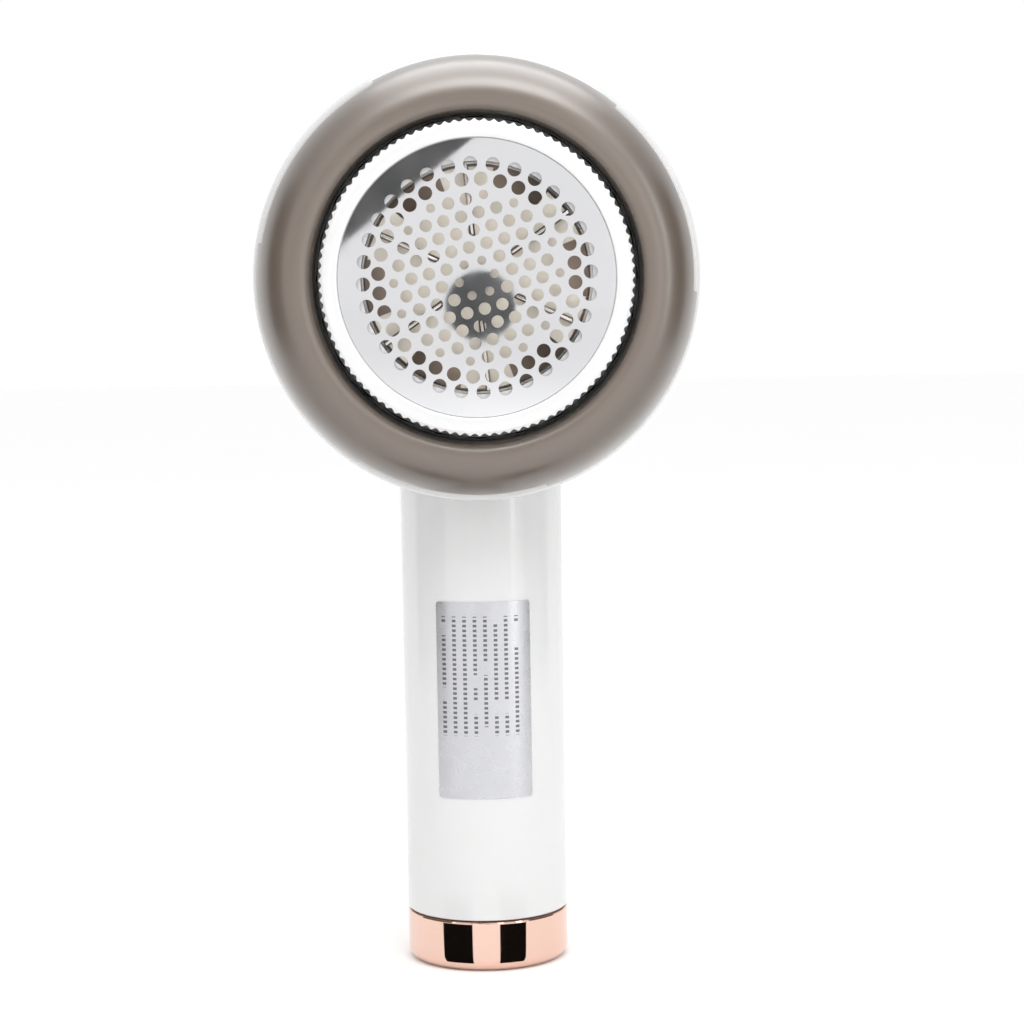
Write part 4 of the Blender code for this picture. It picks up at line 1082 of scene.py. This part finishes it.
@dataclass
class FoilTurret:
    """Mirror foil, the knurled ring that holds it, and the seat behind; millimetres."""

    finishes: Finishes
    foil_radius: float = node_radius("foil")
    foil_low: float = 35.0
    foil_thick: float = 0.3
    crown: float = 0.9
    crown_radius: float = 25.2
    hole: float = 1.15
    small_hole: float = 0.85
    edge_hole: float = 1.3
    outer_ring: float = 21.1
    inner_ring: float = 18.25
    lattice_turn: float = 13.6
    row_holes: int = 32
    hole_sides: int = 28
    ring_tip: float = node_radius("knurled_ring")
    ring_top: float = node_front("knurled_ring")
    ring_length: float = 8.7
    ring_bore: float = 26.8
    ring_lip: float = 25.9
    ring_chamfer: float = 0.8
    ring_round: float = 0.35
    ledge: float = 35.6
    lug: float = 25.1
    lug_low: float = 31.2
    lug_high: float = 32.8
    lug_zone: float = 34.0
    lug_half_span: float = 12.0
    tooth: float = 0.5
    teeth: int = 100

    def build(self) -> None:
        """Build and dress the turret's pieces."""
        self.build_foil()
        self.build_ring()
        refine("cutter_seat", "handle_body", self.finishes.white_abs)
        refine("dust_shield", "handle_body", self.finishes.fibre, 0.0)

    def holes(self) -> list[Point]:
        """Work out the hole pattern: a triangular lattice inside two round rows.

        Returns:
            Each hole's distance from the centre, angle in degrees and radius.
        """
        pitch = (2.0 * self.inner_ring - self.outer_ring) / math.sqrt(21.0)
        found = []
        for row in range(-5, 6):
            for column in range(-5, 6):
                steps = row * row + row * column + column * column
                ring = max(abs(row), abs(column), abs(row + column))
                if not 1 <= ring <= 5 or steps > 21:
                    continue
                angle = math.degrees(math.atan2(row * math.sqrt(0.75),
                                                column + row / 2.0))
                small = ring == 1 or steps == 21
                found.append((pitch * math.sqrt(steps), angle + self.lattice_turn,
                              self.small_hole if small else self.hole))
        step = 360.0 / self.row_holes
        for i in range(self.row_holes):
            for reach, turn in ((self.outer_ring, i), (self.inner_ring, i + 0.5)):
                found.append((reach, self.lattice_turn + step * turn, self.edge_hole))
        return found

    def build_foil(self) -> None:
        """Turn a flat disc, punch the holes, then press the dome."""
        top = self.foil_low + self.foil_thick
        reach = [self.crown_radius * i / 13.0 for i in range(14)]
        disc = lathe("foil_punched", HEAD_AXIS,
                     [(r, top) for r in reach] + [(self.foil_radius, top),
                                                  (self.foil_radius, self.foil_low)]
                     + [(r, self.foil_low) for r in reversed(reach)], 121)
        carve(disc, "DIFFERENCE", self.punches())
        reshape(disc, self.domed)
        self.true_normals(disc)
        fit_piece(disc, "handle_body", "foil", self.finishes.foil_steel)

    def punches(self) -> Piece:
        """Make a round punch for each hole.

        Returns:
            One object that holds all the punches.
        """
        deselect()
        made = []
        for distance, degrees, radius in self.holes():
            place = head_place(distance, degrees, self.foil_low)
            bpy.ops.mesh.primitive_cylinder_add(
                vertices=self.hole_sides, radius=radius * MM, depth=4.0 * MM,
                location=place, rotation=(math.pi / 2.0, 0.0, 0.0))
            made.append(bpy.context.active_object)
        deselect()
        for tool in made:
            tool.select_set(True)
        bpy.context.view_layer.objects.active = made[0]
        bpy.ops.object.join()
        return bpy.context.active_object

    def domed(self, place: Vector) -> Vector:
        """Give a point's place once the dome is pressed.

        Args:
            place: the point in metres.

        Returns:
            Its new place in metres.
        """
        radius, degrees, ahead = head_polar(place)
        rise = self.crown * max(1.0 - (radius / self.crown_radius) ** 2, 0.0)
        return head_place(radius, degrees, ahead + rise)

    def true_normals(self, disc: Piece) -> None:
        """Give the faces of the dome the normals of the true curve, so it mirrors well.

        Args:
            disc: the pressed foil.
        """
        mesh = disc.data
        mesh.shade_smooth()
        normals = []
        for face in mesh.polygons:
            along = face.normal.dot(HEAD_AXIS.ahead)
            for corner in face.loop_indices:
                place = mesh.vertices[mesh.loops[corner].vertex_index].co
                radius, degrees, _ = head_polar(place)
                if abs(along) < 0.5:
                    normals.append(face.normal.copy())
                    continue
                slope = 2.0 * self.crown * radius / self.crown_radius ** 2
                angle = math.radians(degrees)
                true = Vector((slope * math.cos(angle), -1.0, slope * math.sin(angle)))
                normals.append(true.normalized() * math.copysign(1.0, along))
        mesh.normals_split_custom_set(normals)

    def build_ring(self) -> None:
        """Turn the ring, then cut its teeth and lugs by moving its walls."""
        top = self.ring_top
        low = top - self.ring_length
        chamfer = self.ring_tip - self.ring_chamfer
        profile = [(self.ring_bore, low), (self.ring_bore, self.lug_low),
                   (self.lug, self.lug_low), (self.lug, self.lug_high),
                   (self.ring_bore, self.lug_high), (self.ring_bore, self.ledge),
                   (self.ring_lip, self.ledge)]
        profile += arc((self.ring_lip + self.ring_round, top - self.ring_round),
                       self.ring_round, 180.0, 90.0, 5)
        profile += [(chamfer - 0.15, top)]
        profile += [(chamfer + self.ring_chamfer * i / 8.0, top - 0.06 - 0.74 * i / 8.0)
                    for i in range(9)]
        profile += [(self.ring_tip, top - 1.2), (self.ring_tip, low + 0.5),
                    (self.ring_tip - 0.25, low + 0.1), (self.ring_tip - 0.5, low)]
        ring = lathe("knurled_ring_moulding", HEAD_AXIS, profile, self.teeth * 10)
        reshape(ring, self.toothed)
        merge_close(ring)
        smooth(ring, 24.0)
        fit_piece(ring, "cutter_ring", "knurled_ring",
                  self.finishes.ring_acrylic)

    def toothed(self, place: Vector) -> Vector:
        """Give a point's place once the teeth and lugs are cut.

        Args:
            place: the point in metres.

        Returns:
            Its new place in metres.
        """
        radius, degrees, ahead = head_polar(place)
        wave = 0.5 - 0.5 * math.cos(math.radians(degrees) * self.teeth)
        radius = min(radius, self.ring_tip - self.tooth * wave ** 0.8)
        away = abs(degrees % 120.0 - 60.0)
        if ahead < self.lug_zone and away > self.lug_half_span:
            radius = max(radius, self.ring_bore)
        return head_place(radius, degrees, ahead)


@dataclass
class Cutter:
    """Rotor with six petals and blades on the motor's shaft."""

    finishes: Finishes

    def build(self) -> None:
        """Dress the pieces that turn."""
        refine("rotor", "spinner", self.finishes.cream_nylon, 0.15)
        for i in range(1, 7):
            refine(f"blade_{i}", "spinner", self.finishes.blade_steel, 0.05)
        refine("rotor_cap", "spinner", self.finishes.zinc)
        refine("motor_shaft", "spinner", self.finishes.zinc, 0.05)
        refine("armature", "spinner", self.finishes.copper, 0.3)


@dataclass
class Drive:
    """Motor, deck and seal inside the head."""

    finishes: Finishes

    def build(self) -> None:
        """Dress the fixed pieces inside the head."""
        look = self.finishes
        refine("front_deck", "handle_body", look.white_abs)
        refine("bin_seal", "handle_body", look.rubber, 0.0)
        for node in ("deck_screw_1", "deck_screw_2", "deck_screw_3",
                     "motor_screw_1", "motor_screw_2"):
            refine(node, "handle_body", look.zinc, 0.06)
        refine("motor_can", "handle_body", look.zinc)
        refine("motor_bush", "handle_body", look.brass, 0.05)
        refine("motor_end_bell", "handle_body", look.black_plastic)
        for node in ("motor_magnet_1", "motor_magnet_2"):
            refine(node, "handle_body", look.black_plastic, 0.08)
        for node in ("motor_terminal_1", "motor_terminal_2"):
            refine(node, "handle_body", look.brass, 0.04)


@dataclass
class Power:
    """Battery, boards, switch, socket and wires in the handle."""

    finishes: Finishes

    def build(self) -> None:
        """Dress the pieces in the handle."""
        look = self.finishes
        for node, slot, finish, edge in (
                ("battery_carrier", "grey_plastic", look.grey_abs, 0.12),
                ("battery_cell", "cell_wrap", look.shrink, 0.3),
                ("contact_plus", "brass", look.brass, 0.05),
                ("contact_minus", "brass", look.brass, 0.05),
                ("circuit_board", "board", look.solder_mask, 0.05),
                ("charge_board", "board", look.solder_mask, 0.05),
                ("charge_socket", "black_plastic", look.black_plastic, 0.12),
                ("charge_light", "light_clear", look.light_pipe, 0.15),
                ("switch_housing", "black_plastic", look.black_plastic, 0.12)):
            refine(node, "handle_body", finish, edge)
        refine("switch_plunger", "plunger", look.cream_nylon, 0.1)
        dress_nodes(look.zinc, "button_spring")
        for node, slot, finish in (("motor_lead_red", "red_wire", look.red_pvc),
                                   ("motor_lead_black", "black_wire", look.black_pvc),
                                   ("battery_lead", "red_wire", look.red_pvc),
                                   ("charge_lead", "black_wire", look.black_pvc)):
            refine(node, "handle_body", finish, 0.0)


# ---------------------------------------------------------------- studio

@dataclass(frozen=True)
class SoftBox:
    """A rectangular soft light that faces a point; metres and watts.

    An unseen light shows to no camera and in no mirror. A gloss_only light gives
    highlights and lights nothing else.
    """

    name: str
    place: Point
    size: tuple[float, float]
    power: float
    target: Point = (0.0, 0.0, 0.1)
    unseen: bool = False
    gloss_only: bool = False

    def build(self) -> None:
        """Hang the light."""
        lamp = bpy.data.lights.new(self.name, "AREA")
        lamp.shape = "RECTANGLE"
        lamp.size, lamp.size_y = self.size
        lamp.energy = self.power
        holder = bpy.data.objects.new(self.name, lamp)
        bpy.context.scene.collection.objects.link(holder)
        holder.location = self.place
        aim = Vector(self.target) - Vector(self.place)
        holder.rotation_euler = aim.to_track_quat("-Z", "Y").to_euler()
        holder.visible_camera = not self.unseen
        holder.visible_glossy = self.gloss_only or not self.unseen
        holder.visible_diffuse = not self.gloss_only


@dataclass
class Studio:
    """Pale floor, white surroundings, soft lights, dark cards and the camera; metres."""

    lens: float = 94.9
    distance: float = 0.520
    pitch: float = 4.966
    yaw: float = 0.66
    roll: float = 0.95
    surround: float = 1.0
    lights: tuple[SoftBox, ...] = (
        SoftBox("top_softbox", (0.06, -0.40, 0.66), (0.50, 0.36), 1.9,
                (0.0, 0.0, 0.15)),
        SoftBox("left_softbox", (-0.62, -0.50, 0.30), (0.08, 0.40), 0.10),
        SoftBox("right_softbox", (0.50, -0.50, 0.24), (0.10, 0.45), 0.5),
        SoftBox("overhead_strip", (0.04, -0.12, 0.66), (0.62, 1.10), 6.0,
                (0.04, -0.12, 0.0), True, True),
        SoftBox("left_strip", (-0.20, -0.62, 0.20), (0.10, 0.26), 0.12,
                (0.0, 0.0, 0.136), True, True),
        SoftBox("right_strip", (0.20, -0.62, 0.20), (0.10, 0.26), 0.12,
                (0.0, 0.0, 0.136), True, True),
    )
    fill_out: float = 0.013
    fill_ahead: float = 0.0262
    fill_size: float = 0.012
    fill_power: float = 0.0010
    fill_aim: float = 0.0645
    band_start: float = 0.0172
    band_lift: float = 0.0006
    band_reach: float = 0.4
    band_ray: float = 0.06
    cap_bands: tuple[tuple[float, float], ...] = ((235.5, 258.5), (278.5, 298.5))
    made: list[Piece] = field(default_factory=list)

    def build(self) -> None:
        """Set up everything round the shaver."""
        self.build_world()
        self.build_floor()
        for light in (*self.lights, *self.turret_fills()):
            light.build()
        self.build_cards()
        self.build_camera()
        bpy.context.scene.view_settings.view_transform = "Standard"

    def turret_fills(self) -> list[SoftBox]:
        """Make the lamps in the turret, which stand for light through the smoky bin.

        Returns:
            Four lamps that face outwards from the head's axis.
        """
        middle = HEAD_AXIS.origin.z
        return [SoftBox(f"turret_fill_{side}",
                        (across * self.fill_out, -self.fill_ahead,
                         middle + up * self.fill_out),
                        (self.fill_size, self.fill_size), self.fill_power,
                        (across * self.fill_aim, -0.024, middle + up * self.fill_aim), True)
                for side, across, up in (("left", -1.0, 0.0), ("right", 1.0, 0.0),
                                         ("top", 0.0, 1.0), ("low", 0.0, -1.0))]

    def build_world(self) -> None:
        """Surround the scene with plain white."""
        world = bpy.data.worlds.new("white_tent")
        world.use_nodes = True
        tree = world.node_tree
        tree.nodes.clear()
        back = add_node(tree, "ShaderNodeBackground", {
            "Color": (1.0, 1.0, 1.0, 1.0), "Strength": self.surround})
        add_node(tree, "ShaderNodeOutputWorld", {"Surface": back.outputs["Background"]})
        bpy.context.scene.world = world

    def build_floor(self) -> None:
        """Lay the pale floor."""
        deselect()
        bpy.ops.mesh.primitive_plane_add(size=6.0, location=(0.0, 0.0, 0.0))
        floor = bpy.context.active_object
        floor.name = "floor"
        bpy.ops.object.mode_set(mode="EDIT")
        bpy.ops.mesh.select_all(action="SELECT")
        bpy.ops.mesh.subdivide(number_cuts=3)
        bpy.ops.object.mode_set(mode="OBJECT")
        dress(floor, Finish("floor_paper", "#fdfdfd", 0.7, cloud_colour="#fbfbfb",
                            cloud_size=120.0, grain_size=1.5, grain_depth=0.01).build())
        self.made.append(floor)

    def build_cards(self) -> None:
        """Hang the round and flat cards that only mirrors show."""
        dark = Finish("black_card", "#101010", 0.8, ior=1.0,
                      cloud_colour="#1a1a1a").build()
        dim = Finish("dark_grey_card", "#686868", 0.8, ior=1.0, cloud_size=60.0,
                     cloud_amount=0.8, cloud_colour="#4c4c4c").build()
        grey = Finish("grey_card", "#5a5a5a", 0.8, ior=1.0,
                      cloud_colour="#666666").build()
        self.disc("lens_card", (0.003, -0.60, 0.1085), 0.069, dim)
        self.flag("upper_left_flag", (-0.1045, -0.60, 0.2698), (0.42, 0.12), 38.0, 0.0,
                  dim)
        self.flag("left_flag", (-0.42, -0.10, 0.16), (0.44, 0.36), 0.0, -90.0, grey)
        self.flag("right_flag", (0.42, -0.06, 0.16), (0.36, 0.36), 0.0, 90.0, grey)
        for number, (start, end) in enumerate(self.cap_bands, 1):
            self.wedge(f"floor_band_{number}", start, end, dark)

    def disc(self, name: str, place: Point, width: float, finish: Material) -> None:
        """Hang a round card that faces the head.

        Args:
            name: the card's name.
            place: its centre in metres.
            width: its diameter in metres.
            finish: its material.
        """
        deselect()
        bpy.ops.mesh.primitive_circle_add(vertices=48, radius=width / 2.0,
                                          fill_type="NGON", location=place,
                                          rotation=(math.pi / 2.0, 0.0, 0.0))
        card = bpy.context.active_object
        card.name = name
        bpy.ops.object.transform_apply(location=True, rotation=True, scale=True)
        self.hide_card(card, finish)

    def flag(self, name: str, place: Point,
             size: tuple[float, float], tilt: float, turn: float,
             finish: Material) -> None:
        """Hang a flat oblong card.

        Args:
            name: the card's name.
            place: its centre in metres.
            size: its width and height in metres.
            tilt: its turn in its own plane, in degrees.
            turn: its turn about the upright, in degrees.
            finish: its material.
        """
        deselect()
        bpy.ops.mesh.primitive_plane_add(size=1.0, location=(0.0, 0.0, 0.0))
        card = bpy.context.active_object
        card.name = name
        card.matrix_world = (Matrix.Translation(place)
                             @ Matrix.Rotation(math.radians(turn), 4, "Z")
                             @ Matrix.Rotation(math.radians(-tilt), 4, "Y")
                             @ Matrix.Rotation(math.pi / 2.0, 4, "X")
                             @ Matrix.Diagonal((size[0], size[1], 1.0, 1.0)))
        bpy.ops.object.transform_apply(location=True, rotation=True, scale=True)
        self.hide_card(card, finish)

    def wedge(self, name: str, start: float, end: float,
              finish: Material) -> None:
        """Lay a dark wedge on the floor that only the plated foot mirrors.

        Args:
            name: the card's name.
            start: its first edge in degrees, anticlockwise from +X.
            end: its last edge in degrees.
            finish: its material.
        """
        deselect()
        first = math.radians(start)
        out = Vector((math.cos(first), math.sin(first), 0.0))
        low = Vector((0.0, 0.0, self.band_lift))
        bpy.ops.mesh.primitive_plane_add(size=MM)
        card = bpy.context.active_object
        card.name = name
        bpy.ops.object.mode_set(mode="EDIT")
        bpy.ops.mesh.select_all(action="SELECT")
        bpy.ops.mesh.merge(type="CENTER")
        bpy.ops.transform.translate(value=out * self.band_start + low)
        bpy.ops.mesh.extrude_vertices_move(
            TRANSFORM_OT_translate={"value": out * self.band_reach})
        bpy.ops.mesh.select_all(action="SELECT")
        bpy.ops.mesh.spin(steps=24, angle=math.radians(start - end),
                          center=(0.0, 0.0, 0.0), axis=(0.0, 0.0, 1.0))
        bpy.ops.object.mode_set(mode="OBJECT")
        reshape(card, self.mirrored_out)
        self.hide_card(card, finish)

    def mirrored_out(self, place: Vector) -> Vector:
        """Send a wedge's outer point along the ray that the foot mirrors to the front.

        Args:
            place: the point in metres.

        Returns:
            Its new place in metres.
        """
        if place.to_2d().length < self.band_reach / 2.0:
            return place
        about = math.atan2(place.y, place.x)
        ray = 2.0 * about + math.pi / 2.0
        start = Vector((math.cos(about), math.sin(about), 0.0)) * self.band_start
        return start + Vector((math.cos(ray) * self.band_ray,
                               math.sin(ray) * self.band_ray, place.z))

    def hide_card(self, card: Piece, finish: Material) -> None:
        """Let a card show only in mirrors, so that it shades and hides nothing.

        Args:
            card: the card.
            finish: its material.
        """
        dress(card, finish)
        card.visible_camera = False
        card.visible_diffuse = False
        card.visible_transmission = False
        card.visible_shadow = False
        self.made.append(card)

    def build_camera(self) -> None:
        """Stand the camera level with the head, looking a little down."""
        camera = bpy.data.cameras.new("front_camera")
        camera.lens = self.lens
        camera.sensor_width = 36.0
        camera.clip_start = 0.01
        holder = bpy.data.objects.new("front_camera", camera)
        bpy.context.scene.collection.objects.link(holder)
        turn = (Matrix.Rotation(math.radians(-self.yaw), 4, "Z")
                @ Matrix.Rotation(math.radians(90.0 - self.pitch), 4, "X")
                @ Matrix.Rotation(math.radians(-self.roll), 4, "Z"))
        place = (0.0, -self.distance + CAD_FRONT_RIM, HEAD_AXIS.origin.z)
        holder.matrix_world = Matrix.Translation(place) @ turn
        bpy.context.scene.camera = holder


def main() -> None:
    """Build the sub-assemblies in order, then the studio."""
    logging.basicConfig(level=logging.INFO, format="%(name)s: %(message)s")
    finishes = Finishes()
    for assembly in (Handle(finishes), LintBin(finishes), FoilTurret(finishes),
                     Cutter(finishes), Drive(finishes), Power(finishes)):
        assembly.build()
        log.info("finished %s", type(assembly).__name__)
    Studio().build()


if __name__ == "__main__":
    main()
